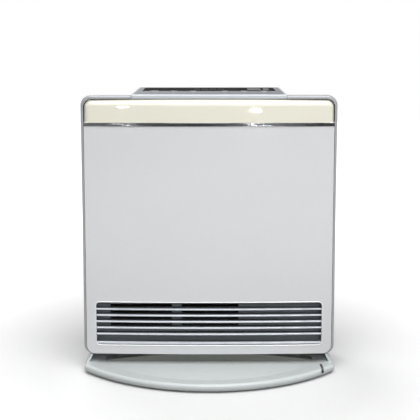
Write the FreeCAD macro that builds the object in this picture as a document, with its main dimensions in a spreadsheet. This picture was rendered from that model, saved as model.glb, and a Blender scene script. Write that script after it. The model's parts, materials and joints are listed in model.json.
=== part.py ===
"""An unflued gas fan heater for a living room: a flat steel case on a wide dished foot.

All lengths are millimetres. X runs to the right, Y to the back and Z up, and the origin is on
the floor under the middle of the heater. Every size is a cell of one sheet, and every place and
size of a piece is worked out from those cells.
"""
import FreeCAD
import Part
import Sketcher
import math
import os

SIZES = {
    # Whole heater
    "case_width": 390,
    "case_height": 405,
    "case_depth": 96,
    "case_lift": 26,
    "case_sheet": 1.2,
    "overrun": 5,
    "seat_gap": 0.3,
    # Rim of the case round the front
    "top_corner": 16,
    "bottom_corner": 15,
    "rim_top": 6,
    "rim_side": 4,
    "rim_bottom": 1.5,
    "rim_depth": 12,
    "rim_round": 4.5,
    "rim_flat": 6,
    "top_drop": 15,
    # Bowed front
    "panel_bow": 5,
    "panel_proud": 0.5,
    "panel_sheet": 1.2,
    "panel_gap": 0.6,
    "panel_return": 9,
    "cap_height": 35.2,
    "cap_proud": 1,
    "cap_wall": 2.5,
    "cap_corner": 12,
    "cap_round": 10,
    "strip_height": 6,
    "strip_proud": 0.8,
    "strip_depth": 4,
    "strip_round": 0.4,
    # Warm air outlet
    "outlet_side": 20,
    "outlet_height": 67.2,
    "outlet_rise": 16.3,
    "outlet_corner": 5.5,
    "outlet_edge": 1.1,
    "frame_wall": 2,
    "frame_back": 18,
    "slat_pitch": 9.9,
    "slat_first": 16.3,
    "slat_recess": 2,
    "slat_nose": 2.8,
    "slat_nose_depth": 4,
    "slat_plate": 1.4,
    "slat_back": 14,
    "ledge_height": 4,
    "guard_sheet": 1.2,
    "guard_end": 20,
    "guard_post_left": 58.5,
    "guard_post_right": 43,
    "guard_fan_gap": 2,
    "guard_low": 21,
    "guard_high": 65,
    # Control panel on top
    "plate_front_ledge": 15,
    "plate_back_ledge": 9,
    "plate_back_gap": 12,
    "plate_lift": 0.6,
    "plate_rise": 7,
    "plate_round": 1.2,
    "apron_round": 2.2,
    "apron_depth": 10,
    "tub_half": 103,
    "tub_front": 15,
    "tub_back_gap": 19,
    "tub_wall": 2,
    "tub_drop": 19,
    "film_margin": 4,
    "film_front_gap": 1,
    "film_sheet": 0.5,
    "window_front_over": 0.5,
    "window_back_inset": 2,
    "window_front": 37,
    "window_back_gap": 4.5,
    "window_proud": 0.3,
    "window_sheet": 2.5,
    "board_sheet": 1.6,
    "board_drop": 14,
    "board_boss": 3,
    "key_row": 27,
    "key_proud": 1.4,
    "key_gap": 0.3,
    "key_travel": 1,
    "key_height": 12,
    "key_round": 0.5,
    "key_big_radius": 8,
    "key_small_radius": 5.5,
    "key_flange": 1.2,
    "key_flange_sheet": 1,
    "key_inset": 19,
    "switch_side": 6,
    "switch_slack": 0.15,
    "digit_inset": 43,
    "buzzer_radius": 6,
    "buzzer_inset": 17,
    # Dished foot
    "foot_height": 2,
    "foot_radius": 8,
    "foot_inset": 26,
    "tray_inset": 1,
    "tray_height": 12,
    "tray_reach": 100,
    "tray_sagitta": 87,
    "tray_tail": 5,
    "tray_corner": 12,
    "tray_round": 4.5,
    "tray_under_round": 7,
    "tray_lip": 3.5,
    "tray_dish": 3,
    "tray_slope": 24,
    "tray_wall": 2.5,
    "cheek_lean": 10,
    "cheek_thick": 7,
    "cheek_top_thick": 3,
    "cheek_hollow": 3,
    "cheek_front": 2,
    "neck_inset": 50,
    "neck_front": 21,
    "neck_back": 5,
    "neck_wall": 3,
    "arch_inset": 32,
    "arch_front": 10,
    "arch_back": 27,
    "arch_under": 1,
    "arch_foot": 2,
    "arch_round": 1.2,
    "notch_width": 3.6,
    "notch_inset": 22,
    "notch_depth": 16,
    "base_screw_inset": 25,
    "base_screw_front": 30,
    "base_screw_back_gap": 14,
    "screw_head": 4,
    "screw_head_height": 2.2,
    "screw_shank": 1.8,
    "screw_slack": 0.2,
    "screw_post": 5,
    "base_screw_stand": 4,
    # Back cover, filters and inlets
    "cover_corner": 1,
    "cover_sheet": 1,
    "lug_reach": 12,
    "lug_half": 6,
    "lug_depth": 10,
    "lug_low": 40,
    "lug_top_gap": 65,
    "slot_length": 40,
    "slot_height": 6,
    "slot_pitch_x": 48.5,
    "slot_pitch_z": 12,
    "slot_low": 172,
    "cover_headroom": 25,
    "filter_side": 47.2,
    "filter_spare": 2,
    "filter_depth": 4.5,
    "filter_border": 5,
    "filter_rib": 2,
    "filter_rib_depth": 1.8,
    "filter_mesh": 0.6,
    "filter_tab": 24,
    "filter_tab_rise": 7,
    "rail_web": 3,
    "rail_lip": 3,
    "rail_lip_sheet": 2,
    "rail_foot": 4,
    "plug_reach": 22,
    "plug_inset": 45,
    "plug_rise": 36,
    "plug_spigot": 5.25,
    "plug_nose": 4,
    "plug_nose_tip": 4,
    "plug_collar": 9,
    "plug_collar_sheet": 3,
    "plug_nut": 8,
    "plug_nut_depth": 7,
    "plug_bore": 3,
    "gland_flange": 9,
    "gland_sheet": 3,
    "gland_body": 6.5,
    "gland_depth": 7,
    "gland_bore": 3.4,
    "thermistor_radius": 3,
    "thermistor_rise": 140,
    "thermistor_depth": 8,
    # Shelf and duct round the fan
    "shelf_rise": 98,
    "shelf_sheet": 1.2,
    "shelf_flange": 12,
    "shelf_slot": 34,
    "shelf_slot_pitch": 40,
    "shelf_slot_front": 40,
    "shelf_slot_back_gap": 16,
    "scroll_spare": 4.9,
    "fan_axis_rise": 48,
    "fan_gap": 4,
    "fan_side": 39,
    "fan_wall_gap": 64,
    "fan_disc": 2,
    "blade_width": 6.5,
    "blade_sheet": 0.9,
    "shaft_radius": 4,
    "shaft_slack": 0.05,
    "scroll_front_gap": 1,
    "scroll_sheet": 1.2,
    "duct_end_gap": 4,
    "duct_sheet": 1.2,
    "duct_back_gap": 8,
    "mouth_low_gap": 9,
    "mouth_high_gap": 5,
    "intake_low": 10,
    "intake_front": 4,
    "lead_in": 14,
    "bush_flange": 11,
    "bush_flange_sheet": 2.5,
    "bush_barrel": 6.3,
    "bush_barrel_reach": 3,
    "motor_gap": 7,
    "motor_length": 40,
    "motor_stand": 6,
    "motor_boss": 9,
    "motor_flange_gap": 6,
    "motor_flange_sheet": 1.5,
    "motor_bore_depth": 18,
    "motor_tail": 3,
    # Burner and its chamber
    "chamber_side": 85,
    "chamber_wall_gap": 12,
    "chamber_front": 22,
    "chamber_back_gap": 22,
    "chamber_skirt": 53,
    "chamber_headroom": 100.8,
    "chamber_sheet": 1,
    "flue_slot": 38,
    "flue_slot_pitch": 44,
    "flue_slot_gap": 8,
    "burner_end_gap": 14,
    "burner_side_gap": 6,
    "burner_lift": 15,
    "burner_height": 36,
    "burner_leg": 4,
    "burner_wall": 2,
    "port_width": 3,
    "port_side_gap": 5,
    "port_pitch": 18,
    "manifold_radius": 5,
    "manifold_rise": 6.3,
    "manifold_slack": 0.1,
    "nozzle_radius": 2.5,
    "nozzle_height": 11,
    "nozzle_pitch": 36,
    "shield_front": 16,
    "shield_sheet": 0.8,
    "shield_over": 8,
    "shield_low": 15,
    "shield_top_over": 15,
    "dimple_radius": 5,
    "dimple_inset": 18,
    "probe_rise": 60,
    "probe_gap": 8,
    "probe_ceramic": 3,
    "probe_out": 8,
    "probe_in": 12,
    "probe_wire": 1,
    "probe_wire_reach": 18,
    "overheat_radius": 6,
    "overheat_height": 7,
    "overheat_inset": 8,
    # Gas valve and electric side
    "bay_width": 83,
    "wall_front": 14,
    "wall_back_gap": 6,
    "wall_headroom": 31,
    "wall_sheet": 1.2,
    "valve_stand": 6,
    "valve_side": 31,
    "valve_side_gap": 10,
    "valve_height": 25,
    "coil_radius": 10,
    "coil_spread": 11.5,
    "plunger_radius": 4,
    "plunger_slack": 0.06,
    "plunger_length": 18,
    "plunger_travel": 2,
    "coil_cap": 3,
    "governor_radius": 9,
    "governor_length": 8,
    "pipe_radius": 5,
    "pipe_bend": 16,
    "spark_box_depth": 30,
    "spark_box_front": 15,
    "spark_box_back": 44,
    "spark_box_low": 54,
    "spark_box_high": 89,
    "tray_case_wall": 2,
    "spark_box_round": 2,
    "tray_case_depth": 6,
    "tray_case_front": 16,
    "tray_case_back_gap": 10,
    "tray_case_tall": 110,
    "tray_case_drop": 33,
    "relay_side": 16,
    "relay_height": 14,
    "lead_radius": 1.4,
    "lead_bend": 3.2,
    "lead_clear": 4,
    "lead_inset": 10,
    "capacitor_radius": 8,
    "capacitor_height": 22,
    "socket_length": 24,
    "socket_inset": 18,
    "socket_side": 7,
    "transformer_gap": 3,
    "transformer_width": 34,
    "transformer_front": 30,
    "transformer_back": 72,
    "transformer_height": 40,
    "winding_over": 5,
    "tilt_side": 16,
    "tilt_height": 20,
    "tilt_side_gap": 9,
    "tilt_back_gap": 28,
}

# Number of repeated pieces
SLATS = 5
FULL_TURN = 360.0
FAN_BLADES = 30
FILTER_RIB_COLUMNS = 3
FILTER_RIB_ROWS = 4


class Size:
    """A length that carries its value and the formula that gives it on the sheet."""

    def __init__(self, value, text):
        self.value = value
        self.text = text

    def __add__(self, other):
        other = as_size(other)
        return Size(self.value + other.value, "(" + self.text + " + " + other.text + ")")

    def __sub__(self, other):
        other = as_size(other)
        return Size(self.value - other.value, "(" + self.text + " - " + other.text + ")")

    def __mul__(self, other):
        other = as_size(other)
        return Size(self.value * other.value, "(" + self.text + " * " + other.text + ")")

    def __truediv__(self, other):
        other = as_size(other)
        return Size(self.value / other.value, "(" + self.text + " / " + other.text + ")")

    def __neg__(self):
        return Size(-self.value, "(-" + self.text + ")")


def as_size(number):
    """Turn a count or a share into a Size, and leave a Size as it is."""
    if isinstance(number, Size):
        return number
    return Size(float(number), repr(float(number)))


def half(length):
    """Half of a length."""
    return length / 2


def how_many(length, pitch):
    """How many times a pitch goes into a length."""
    return int(length.value / pitch.value)


ZERO = as_size(0)
KEY_SPACING_SHARE = 0.357
ALONG_X = FreeCAD.Rotation(FreeCAD.Vector(0, 1, 0), 90)
ALONG_Y = FreeCAD.Rotation(FreeCAD.Vector(1, 0, 0), -90)
ALONG_Z = FreeCAD.Rotation()
TURNS = {"x": ALONG_X, "y": ALONG_Y, "z": ALONG_Z}

doc = FreeCAD.newDocument("gas_heater")
sheet = doc.addObject("Spreadsheet::Sheet", "sizes")


def fill_sheet():
    """Write each size into the sheet and give back the sizes by name."""
    named = {}
    for row, (name, value) in enumerate(SIZES.items(), start=1):
        cell = "A" + str(row)
        sheet.set(cell, str(value))
        sheet.setAlias(cell, name)
        named[name] = Size(float(value), "sizes." + name)
    doc.recompute()
    return named


class Named:
    """The sizes of the sheet, each read as an attribute."""

    def __init__(self, named):
        self.__dict__.update(named)


s = Named(fill_sheet())
nodes = []


def finish(name, item):
    """Name a finished piece and keep it for writing."""
    item.Label = name
    nodes.append(item)
    return item


def place(item, x, y, z):
    """Bind the place of a primitive to the sheet."""
    item.setExpression("Placement.Base.x", x.text)
    item.setExpression("Placement.Base.y", y.text)
    item.setExpression("Placement.Base.z", z.text)
    item.Placement.Base = FreeCAD.Vector(x.value, y.value, z.value)


def box(name, x, y, z):
    """A block between the low and the high end given for each axis."""
    item = doc.addObject("Part::Box", name)
    for side, ends in (("Length", x), ("Width", y), ("Height", z)):
        item.setExpression(side, (ends[1] - ends[0]).text)
    place(item, x[0], y[0], z[0])
    return item


def rod(name, axis, start, radius, length):
    """A cylinder from a start point along one axis."""
    item = doc.addObject("Part::Cylinder", name)
    item.Placement = FreeCAD.Placement(FreeCAD.Vector(), TURNS[axis])
    item.setExpression("Radius", radius.text)
    item.setExpression("Height", length.text)
    place(item, *start)
    return item


def cone(name, axis, start, radius_a, radius_b, length):
    """A cone from a start point along one axis."""
    item = doc.addObject("Part::Cone", name)
    item.Placement = FreeCAD.Placement(FreeCAD.Vector(), TURNS[axis])
    item.setExpression("Radius1", radius_a.text)
    item.setExpression("Radius2", radius_b.text)
    item.setExpression("Height", length.text)
    place(item, *start)
    return item


def taper(name, y, x_near, x_far, z_near, z_far):
    """A block whose near and far faces, square to Y, differ in width and height."""
    item = doc.addObject("Part::Wedge", name)
    ends = {"Ymin": y[0], "Ymax": y[1], "Xmin": x_near[0], "Xmax": x_near[1],
            "X2min": x_far[0], "X2max": x_far[1], "Zmin": z_near[0], "Zmax": z_near[1],
            "Z2min": z_far[0], "Z2max": z_far[1]}
    for side, end in ends.items():
        item.setExpression(side, end.text)
    return item


def join(name, *parts):
    """Fuse pieces into one solid."""
    item = doc.addObject("Part::MultiFuse", name)
    item.Shapes = list(parts)
    item.Refine = True
    return item


def group(name, *parts):
    """Keep separate solids together as one shape."""
    item = doc.addObject("Part::Compound", name)
    item.Links = list(parts)
    return item


def cut(name, base, *tools):
    """Cut one or more tools out of a base."""
    tool = tools[0]
    if len(tools) > 1:
        tool = group(name + "_tools", *tools)
    item = doc.addObject("Part::Cut", name)
    item.Base = base
    item.Tool = tool
    return item


def overlap(name, base, tool):
    """Keep what two pieces share."""
    item = doc.addObject("Part::Common", name)
    item.Base = base
    item.Tool = tool
    return item


def rounded(name, base, radius_of):
    """Round the edges for which radius_of gives a radius."""
    doc.recompute()
    item = doc.addObject("Part::Fillet", name)
    item.Base = base
    edges = []
    for number, edge in enumerate(base.Shape.Edges, start=1):
        radius = radius_of(edge)
        if radius is not None:
            edges.append((number, radius.value, radius.value))
    item.Edges = edges
    return item


def runs_along(edge, axis):
    """Say whether a straight edge runs along an axis."""
    if edge.Curve.TypeId != "Part::GeomLine":
        return False
    run = edge.Curve.Direction
    return abs(abs(getattr(run, axis)) - 1) < NEAR


def lies_at(edge, axis, where):
    """Say whether a whole edge lies at one place of an axis."""
    bounds = edge.BoundBox
    low = getattr(bounds, axis.upper() + "Min")
    high = getattr(bounds, axis.upper() + "Max")
    return abs(low - where.value) < TOUCH and abs(high - where.value) < TOUCH


NEAR = 1e-6
TOUCH = 1e-3


def rounded_block(name, x, y, z, low_radius, high_radius):
    """A block whose edges along Y are rounded, low and high ones apart."""
    block = box(name + "_block", x, y, z)

    def radius_of(edge):
        if not runs_along(edge, "y"):
            return None
        if abs(edge.BoundBox.ZMin - z[0].value) < TOUCH:
            return low_radius
        return high_radius

    return rounded(name, block, radius_of)


def rounded_rod_block(name, x, y, z, radius, axis):
    """A block whose four edges along one axis are rounded alike."""
    block = box(name + "_block", x, y, z)
    return rounded(name, block, lambda edge: radius if runs_along(edge, axis) else None)


def new_body(name):
    """A body for a sketched piece."""
    return doc.addObject("PartDesign::Body", name)


def draw(body, role, level, corners, through=None):
    """Draw a closed outline on one of the body's own planes, moved to a level.

    Straight sides join the corners in turn. through gives, by the number of the corner that a
    side starts from, a point that the side bends through as an arc.
    """
    through = through or {}
    sketch = attach(body, body.Name + "_outline", role, level)
    points = [FreeCAD.Vector(u.value, v.value, 0) for u, v in corners]
    ends = []
    for number, start in enumerate(points):
        stop = points[(number + 1) % len(points)]
        if number in through:
            u, v = through[number]
            middle = FreeCAD.Vector(u.value, v.value, 0)
            line = Part.Arc(start, middle, stop)
        else:
            line = Part.LineSegment(start, stop)
        index = sketch.addGeometry(line, False)
        forward = (sketch.getPoint(index, 1) - start).Length < TOUCH
        ends.append((index, 1, 2) if forward else (index, 2, 1))
    for number, (index, first, last) in enumerate(ends):
        following, follow_first, _ = ends[(number + 1) % len(ends)]
        joint = Sketcher.Constraint("Coincident", index, last, following, follow_first)
        sketch.addConstraint(joint)
        bind_point(sketch, index, first, corners[number])
    for number, spot in through.items():
        u, v = spot
        marker = sketch.addGeometry(Part.Point(FreeCAD.Vector(u.value, v.value, 0)), True)
        bind_point(sketch, marker, 1, spot)
        arc = ends[number][0]
        sketch.addConstraint(Sketcher.Constraint("PointOnObject", marker, 1, arc))
    return sketch


def bind_point(sketch, index, end, spot):
    """Tie one point of a sketch to two sizes."""
    for kind, size in (("DistanceX", spot[0]), ("DistanceY", spot[1])):
        rule = sketch.addConstraint(Sketcher.Constraint(kind, index, end, size.value))
        sketch.setExpression("Constraints[" + str(rule) + "]", size.text)


def pad(body, sketch, length):
    """Raise an outline from its plane."""
    item = body.newObject("PartDesign::Pad", body.Name + "_pad")
    item.Profile = sketch
    item.setExpression("Length", length.text)
    sketch.Visibility = False
    return item


def prism(name, role, ends, corners, through=None):
    """A body with one outline carried between two levels of the axis square to its plane."""
    body = new_body(name)
    level = ends[1] if role == "XZ_Plane" else ends[0]
    sketch = draw(body, role, level, corners, through)
    pad(body, sketch, ends[1] - ends[0])
    return body


def soften(body, radius, wanted):
    """Round the edges of a body's last feature that a test picks."""
    doc.recompute()
    base = body.Tip
    picked = []
    for number, edge in enumerate(base.Shape.Edges, start=1):
        if wanted(edge):
            picked.append("Edge" + str(number))
    item = body.newObject("PartDesign::Fillet", body.Name + "_round")
    item.Base = (base, picked)
    item.setExpression("Radius", radius.text)
    return item


# Levels and planes that several pieces share
rim_y = (s.tray_reach - s.case_depth - s.plug_reach) / 2
back_y = rim_y + s.case_depth
case_half = half(s.case_width)
case_low = s.case_lift
case_high = s.case_lift + s.case_height
inner_low = case_low + s.case_sheet
inner_half = case_half - s.case_sheet
slope_run = s.case_depth - s.rim_flat
slope_start = rim_y + s.rim_flat

# Foot, outlet and back, across the heater
tray_half = case_half - s.tray_inset
neck_half = case_half - s.neck_inset
arch_half = case_half - s.arch_inset
notch_place = tray_half - s.notch_inset
base_screw_x = neck_half - s.base_screw_inset
base_screw_back = s.case_depth - s.base_screw_back_gap
outlet_half = case_half - s.outlet_side
plug_place = case_half - s.plug_inset
filter_inner = half(s.rail_web) + s.seat_gap
filter_width = case_half - s.filter_side - filter_inner

# Control panel, round its tub
plate_front_half = s.tub_half + s.plate_front_ledge
plate_back_half = s.tub_half + s.plate_back_ledge
plate_depth = s.case_depth - s.plate_back_gap
tub_back = s.case_depth - s.tub_back_gap
window_front_half = s.tub_half + s.window_front_over
window_back_half = s.tub_half - s.window_back_inset
window_back = tub_back - s.window_back_gap
power_key_place = s.tub_half - s.key_inset
key_spacing = power_key_place * KEY_SPACING_SHARE
digit_half = s.tub_half - s.digit_inset
buzzer_place = s.tub_half - s.buzzer_inset

# Side wall, and the fan and the burner to its left
wall_place = case_half - s.bay_width
wall_back = s.case_depth - s.wall_back_gap
fan_left = case_half - s.fan_side
fan_right = wall_place - s.fan_wall_gap
duct_left = fan_left + s.duct_end_gap
duct_right = fan_right + s.duct_end_gap
duct_back = s.case_depth - s.duct_back_gap
shelf_slot_back = s.case_depth - s.shelf_slot_back_gap
fan_room = s.case_depth - s.cover_sheet - s.guard_sheet - s.frame_back
scroll_radius = half(fan_room) - s.scroll_spare
fan_axis_depth = s.frame_back + scroll_radius + s.scroll_front_gap
fan_radius = scroll_radius - s.fan_gap
mouth_low = scroll_radius - s.mouth_low_gap
mouth_high = scroll_radius - s.mouth_high_gap
motor_radius = scroll_radius - s.motor_gap
motor_flange = scroll_radius - s.motor_flange_gap
chamber_left = case_half - s.chamber_side
chamber_right = wall_place - s.chamber_wall_gap
chamber_back = s.case_depth - s.chamber_back_gap
chamber_half = half(chamber_back - s.chamber_front)
flue_slot_half = chamber_half - s.flue_slot_gap
burner_left = chamber_left - s.burner_end_gap
burner_right = chamber_right - s.burner_end_gap
burner_half = chamber_half - s.burner_side_gap
port_half = burner_half - s.port_side_gap

# Right of the side wall
valve_left = wall_place + s.valve_stand
valve_right = case_half - s.valve_side
valve_half = chamber_half - s.valve_side_gap
tray_case_back = s.case_depth - s.tray_case_back_gap
transformer_left = duct_right + s.motor_stand + s.motor_length + s.motor_tail + s.transformer_gap
transformer_right = transformer_left + s.transformer_width
tilt_right = case_half - s.tilt_side_gap
tilt_front = s.case_depth - s.tilt_back_gap

# Numbers of pieces that follow the lengths
COVER_SLOT_COLUMNS = how_many((filter_inner + filter_width) * 2, s.slot_pitch_x)
COVER_SLOT_ROWS = how_many(s.case_height - s.top_drop - s.slot_low - s.cover_headroom,
                           s.slot_pitch_z)
SHELF_SLOTS = how_many(fan_left + fan_right, s.shelf_slot_pitch)
FLUE_SLOTS = how_many(chamber_left + chamber_right, s.flue_slot_pitch)
BURNER_PORTS = how_many(burner_left + burner_right - s.port_pitch, s.port_pitch)
NOZZLES = how_many(burner_left + burner_right, s.nozzle_pitch)
filter_height = s.slot_pitch_z * COVER_SLOT_ROWS - s.filter_spare


def at_depth(depth):
    """A plane behind the rim's front."""
    return rim_y + depth


def top_level(depth):
    """Height of the sloping top of the case at a depth behind the rim's front."""
    return case_high - s.top_drop * (depth - s.rim_flat) / slope_run


def sloped_top_cutter(name, lowered):
    """What lies above the sloping top, moved down by a thickness."""
    reach = s.case_depth + s.overrun
    wide = (-case_half - s.overrun, case_half + s.overrun)
    above = case_high + s.overrun
    near = (case_high - lowered, above)
    far = (top_level(reach) - lowered, above)
    return taper(name, (slope_start, back_y + s.overrun), wide, wide, near, far)


# Bowed front: one upright axis far behind the heater carries every bowed face
panel_half = case_half - s.rim_side - s.panel_gap
bow_radius = (panel_half * panel_half + s.panel_bow * s.panel_bow) / (s.panel_bow * 2)
bow_front = rim_y - s.panel_proud - s.panel_bow
bow_axis = bow_front + bow_radius
front_limit = rim_y - s.panel_bow * 3


def bowed(name, shape, inward, low, high):
    """Keep the part of a shape behind the bowed face, which is moved inward by a depth."""
    radius = bow_radius - inward
    drum = rod(name + "_drum", "z", (ZERO, bow_axis, low), radius, high - low)
    return overlap(name, shape, drum)


strip_low = case_high - s.rim_top - s.panel_gap - s.cap_height - s.strip_height
strip_high = strip_low + s.strip_height
cap_high = strip_high + s.cap_height
panel_low = case_low + s.rim_bottom + s.seat_gap
outlet_low = case_low + s.outlet_rise
outlet_high = outlet_low + s.outlet_height


def make_outer_case():
    """Folded steel case: top, sides and bottom in one, with the rim round the front."""
    outer = rounded_block("case_outside", (-case_half, case_half), (rim_y, back_y),
                          (case_low, case_high), s.bottom_corner, s.top_corner)
    sloped = cut("case_sloped", outer, sloped_top_cutter("case_slope", ZERO))
    smooth = rounded("case_smooth", sloped,
                     lambda edge: s.rim_round if lies_at(edge, "y", rim_y) else None)
    hollow_block = rounded_block("case_hollow_block", (-inner_half, inner_half),
                                 (at_depth(s.rim_depth), back_y + s.overrun),
                                 (inner_low, case_high - s.case_sheet),
                                 s.bottom_corner - s.case_sheet, s.top_corner - s.case_sheet)
    hollow = cut("case_hollow", hollow_block, sloped_top_cutter("case_hollow_slope", s.case_sheet))
    mouth_half = case_half - s.rim_side
    mouth = rounded_block("case_mouth", (-mouth_half, mouth_half),
                          (rim_y - s.overrun, at_depth(s.rim_depth)),
                          (case_low + s.rim_bottom, case_high - s.rim_top),
                          s.bottom_corner - s.rim_bottom, s.cap_corner + s.panel_gap)
    notch_half = plate_front_half + s.seat_gap
    notch = box("case_notch", (-notch_half, notch_half),
                (rim_y - s.overrun, at_depth(s.apron_depth)),
                (case_high - s.rim_top, case_high + s.overrun))
    well_half = s.tub_half + s.seat_gap
    well = box("case_well", (-well_half, well_half),
               (at_depth(s.tub_front - s.seat_gap), at_depth(tub_back + s.seat_gap)),
               (case_high - s.top_drop - s.rim_top, case_high + s.overrun))
    shell = cut("case_shell", smooth, hollow, mouth, notch, well)
    lugs = []
    holes = []
    for side in (-1, 1):
        for level in lug_levels():
            outer_end = (inner_half + half(s.case_sheet)) * side
            inner_end = (inner_half - s.lug_reach) * side
            ends = sorted((outer_end, inner_end), key=lambda size: size.value)
            lugs.append(box("case_lug", ends,
                            (back_y - s.cover_sheet - s.lug_depth, back_y - s.cover_sheet),
                            (level - s.lug_half, level + s.lug_half)))
            holes.append(rod("case_lug_hole", "y",
                             (lug_centre(side), back_y - s.lug_depth - s.overrun, level),
                             s.screw_shank + s.screw_slack, s.lug_depth + s.overrun))
    solid = join("case_with_lugs", shell, *lugs)
    screw_holes = base_screw_rods("case_floor_hole", case_low - s.overrun,
                                  inner_low + s.overrun, s.screw_shank + s.screw_slack)
    finish("outer_case", cut("outer_case", solid, *holes, *screw_holes))


def lug_levels():
    """Heights of the back cover's screws."""
    low = case_low + s.lug_low
    high = case_high - s.lug_top_gap
    return (low, half(low + high), high)


def lug_centre(side):
    """Where the screws of the back cover stand, left or right."""
    return (inner_half - half(s.lug_reach)) * side


def base_screw_rods(name, low, high, radius):
    """Four upright rods where the foot's screws stand."""
    rods = []
    for side in (-1, 1):
        for depth in (s.base_screw_front, base_screw_back):
            start = (base_screw_x * side, at_depth(depth), low)
            rods.append(rod(name, "z", start, radius, high - low))
    return rods


def make_front_panel():
    """Bowed steel front, folded back all round, with the outlet pierced near its foot."""
    across = (-panel_half, panel_half)
    outer_block = rounded_block("panel_block", across, (front_limit, at_depth(s.panel_return)),
                                (panel_low, strip_low - s.seat_gap),
                                s.bottom_corner - s.rim_bottom - s.seat_gap, None)
    outer = bowed("panel_outside", outer_block, ZERO, panel_low, strip_low)
    inset_half = panel_half - s.panel_sheet
    inner_block = rounded_block("panel_hollow_block", (-inset_half, inset_half),
                                (front_limit, at_depth(s.panel_return + s.overrun)),
                                (panel_low + s.panel_sheet, strip_low - s.seat_gap - s.panel_sheet),
                                s.bottom_corner - s.rim_bottom - s.seat_gap - s.panel_sheet,
                                None)
    inner = bowed("panel_hollow", inner_block, s.panel_sheet, panel_low, strip_low)
    pan = cut("panel_pan", outer, inner)
    opening = outlet_block("panel_opening", front_limit, rim_y + s.panel_return)
    pierced = cut("panel_pierced", pan, opening)

    def radius_of(edge):
        bounds = edge.BoundBox
        inside = bounds.ZMin > outlet_low.value - TOUCH and bounds.ZMax < outlet_high.value + TOUCH
        if not inside or runs_along(edge, "y"):
            return None
        if max(abs(bounds.XMin), abs(bounds.XMax)) > outlet_half.value + TOUCH:
            return None
        return s.outlet_edge if is_on_bow(edge, bow_radius) else None

    finish("front_panel", rounded("front_panel", pierced, radius_of))


def is_on_bow(edge, radius):
    """Say whether all ends of an edge lie on the bowed face of a radius."""
    for vertex in edge.Vertexes:
        away = math.hypot(vertex.X, vertex.Y - bow_axis.value)
        if abs(away - radius.value) > TOUCH:
            return False
    return True


def outlet_block(name, front, back):
    """The rounded outlet hole as a block between two planes."""
    return rounded_block(name, (-outlet_half, outlet_half), (front, back),
                         (outlet_low, outlet_high), s.outlet_corner, s.outlet_corner)


def make_top_cap():
    """Moulded cap above the chrome strip, with a broad rounded shoulder."""
    across = (-panel_half, panel_half)
    block = rounded_block("cap_block", across, (front_limit, at_depth(s.panel_return)),
                          (strip_high, cap_high), None, s.cap_corner)
    outer = bowed("cap_outside", block, -s.cap_proud, strip_high, cap_high)
    face = bow_radius + s.cap_proud

    def radius_of(edge):
        if not is_on_bow(edge, face) or lies_at(edge, "z", strip_high):
            return None
        return s.cap_round

    smooth = rounded("cap_smooth", outer, radius_of)
    inset_half = panel_half - s.cap_wall
    hollow_block = rounded_block("cap_hollow_block", (-inset_half, inset_half),
                                 (front_limit, at_depth(s.panel_return + s.overrun)),
                                 (strip_high + s.cap_wall, cap_high - s.cap_wall),
                                 None, s.cap_corner - s.cap_wall)
    hollow = bowed("cap_hollow", hollow_block, s.cap_round - s.cap_wall, strip_high, cap_high)
    finish("top_cap", cut("top_cap", smooth, hollow))


def make_chrome_strip():
    """Bright strip between cap and panel."""
    block = box("strip_block", (-panel_half, panel_half),
                (front_limit, at_depth(s.panel_return)), (strip_low, strip_high))
    outer = bowed("strip_outside", block, -s.strip_proud, strip_low, strip_high)
    hollow_block = box("strip_hollow_block", (-case_half, case_half),
                       (front_limit, at_depth(s.panel_return + s.overrun)),
                       (strip_low - s.overrun, strip_high + s.overrun))
    hollow = bowed("strip_hollow", hollow_block, s.strip_depth - s.strip_proud,
                   strip_low - s.overrun, strip_high + s.overrun)
    bar = cut("strip_bar", outer, hollow)
    face = bow_radius + s.strip_proud

    def radius_of(edge):
        return s.strip_round if is_on_bow(edge, face) and not runs_along(edge, "z") else None

    finish("chrome_strip", rounded("chrome_strip", bar, radius_of))


def make_outlet():
    """Frame, five slats, ledge and guard of the warm air outlet."""
    back = at_depth(s.frame_back)
    wall = s.frame_wall
    block = rounded_block("outlet_frame_block", (-outlet_half - wall, outlet_half + wall),
                          (front_limit, back), (outlet_low - wall, outlet_high + wall),
                          s.outlet_corner + wall, s.outlet_corner + wall)
    outer = bowed("outlet_frame_outside", block, s.panel_sheet + s.seat_gap,
                  outlet_low - wall, outlet_high + wall)
    inner = outlet_block("outlet_frame_hole", front_limit - s.overrun, back + s.overrun)
    finish("outlet_frame", cut("outlet_frame", outer, inner))
    for number in range(SLATS):
        middle = outlet_low + s.slat_first + s.slat_pitch * number
        make_slat("outlet_slat_" + str(SLATS - number), middle - half(s.slat_nose),
                  s.slat_nose, s.slat_plate)
    make_ledge()
    make_guard()


def bowed_band(name, low, height, front, depth):
    """A band of the outlet's width behind a bowed face, with its front edges rounded."""
    across = (-outlet_half, outlet_half)
    block = box(name + "_block", across, (front_limit, at_depth(s.slat_back)),
                (low, low + height))
    outer = bowed(name + "_outside", block, front, low, low + height)
    hollow = rod(name + "_hollow", "z", (ZERO, bow_axis, low - s.overrun),
                 bow_radius - front - depth, height + s.overrun * 2)
    band = cut(name + "_band", outer, hollow)
    face = bow_radius - front

    def radius_of(edge):
        if not is_on_bow(edge, face) or runs_along(edge, "z"):
            return None
        return s.slat_nose * NOSE_ROUND_SHARE

    return rounded(name, band, radius_of)


NOSE_ROUND_SHARE = 0.45


def bowed_plate(name, low, height, front):
    """A flat plate of the outlet's width with a bowed front edge."""
    block = box(name + "_block", (-outlet_half, outlet_half),
                (front_limit, at_depth(s.slat_back)), (low, low + height))
    return bowed(name, block, front, low, low + height)


def make_slat(name, low, height, sheet_height):
    """One slat: a flat plate with a thick rounded nose."""
    nose = bowed_band(name + "_nose", low, height, s.slat_recess, s.slat_nose_depth)
    plate_low = low + half(height - sheet_height)
    inward = s.slat_recess + half(s.slat_nose_depth)
    plate = bowed_plate(name + "_plate", plate_low, sheet_height, inward)
    finish(name, join(name, nose, plate))


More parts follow.
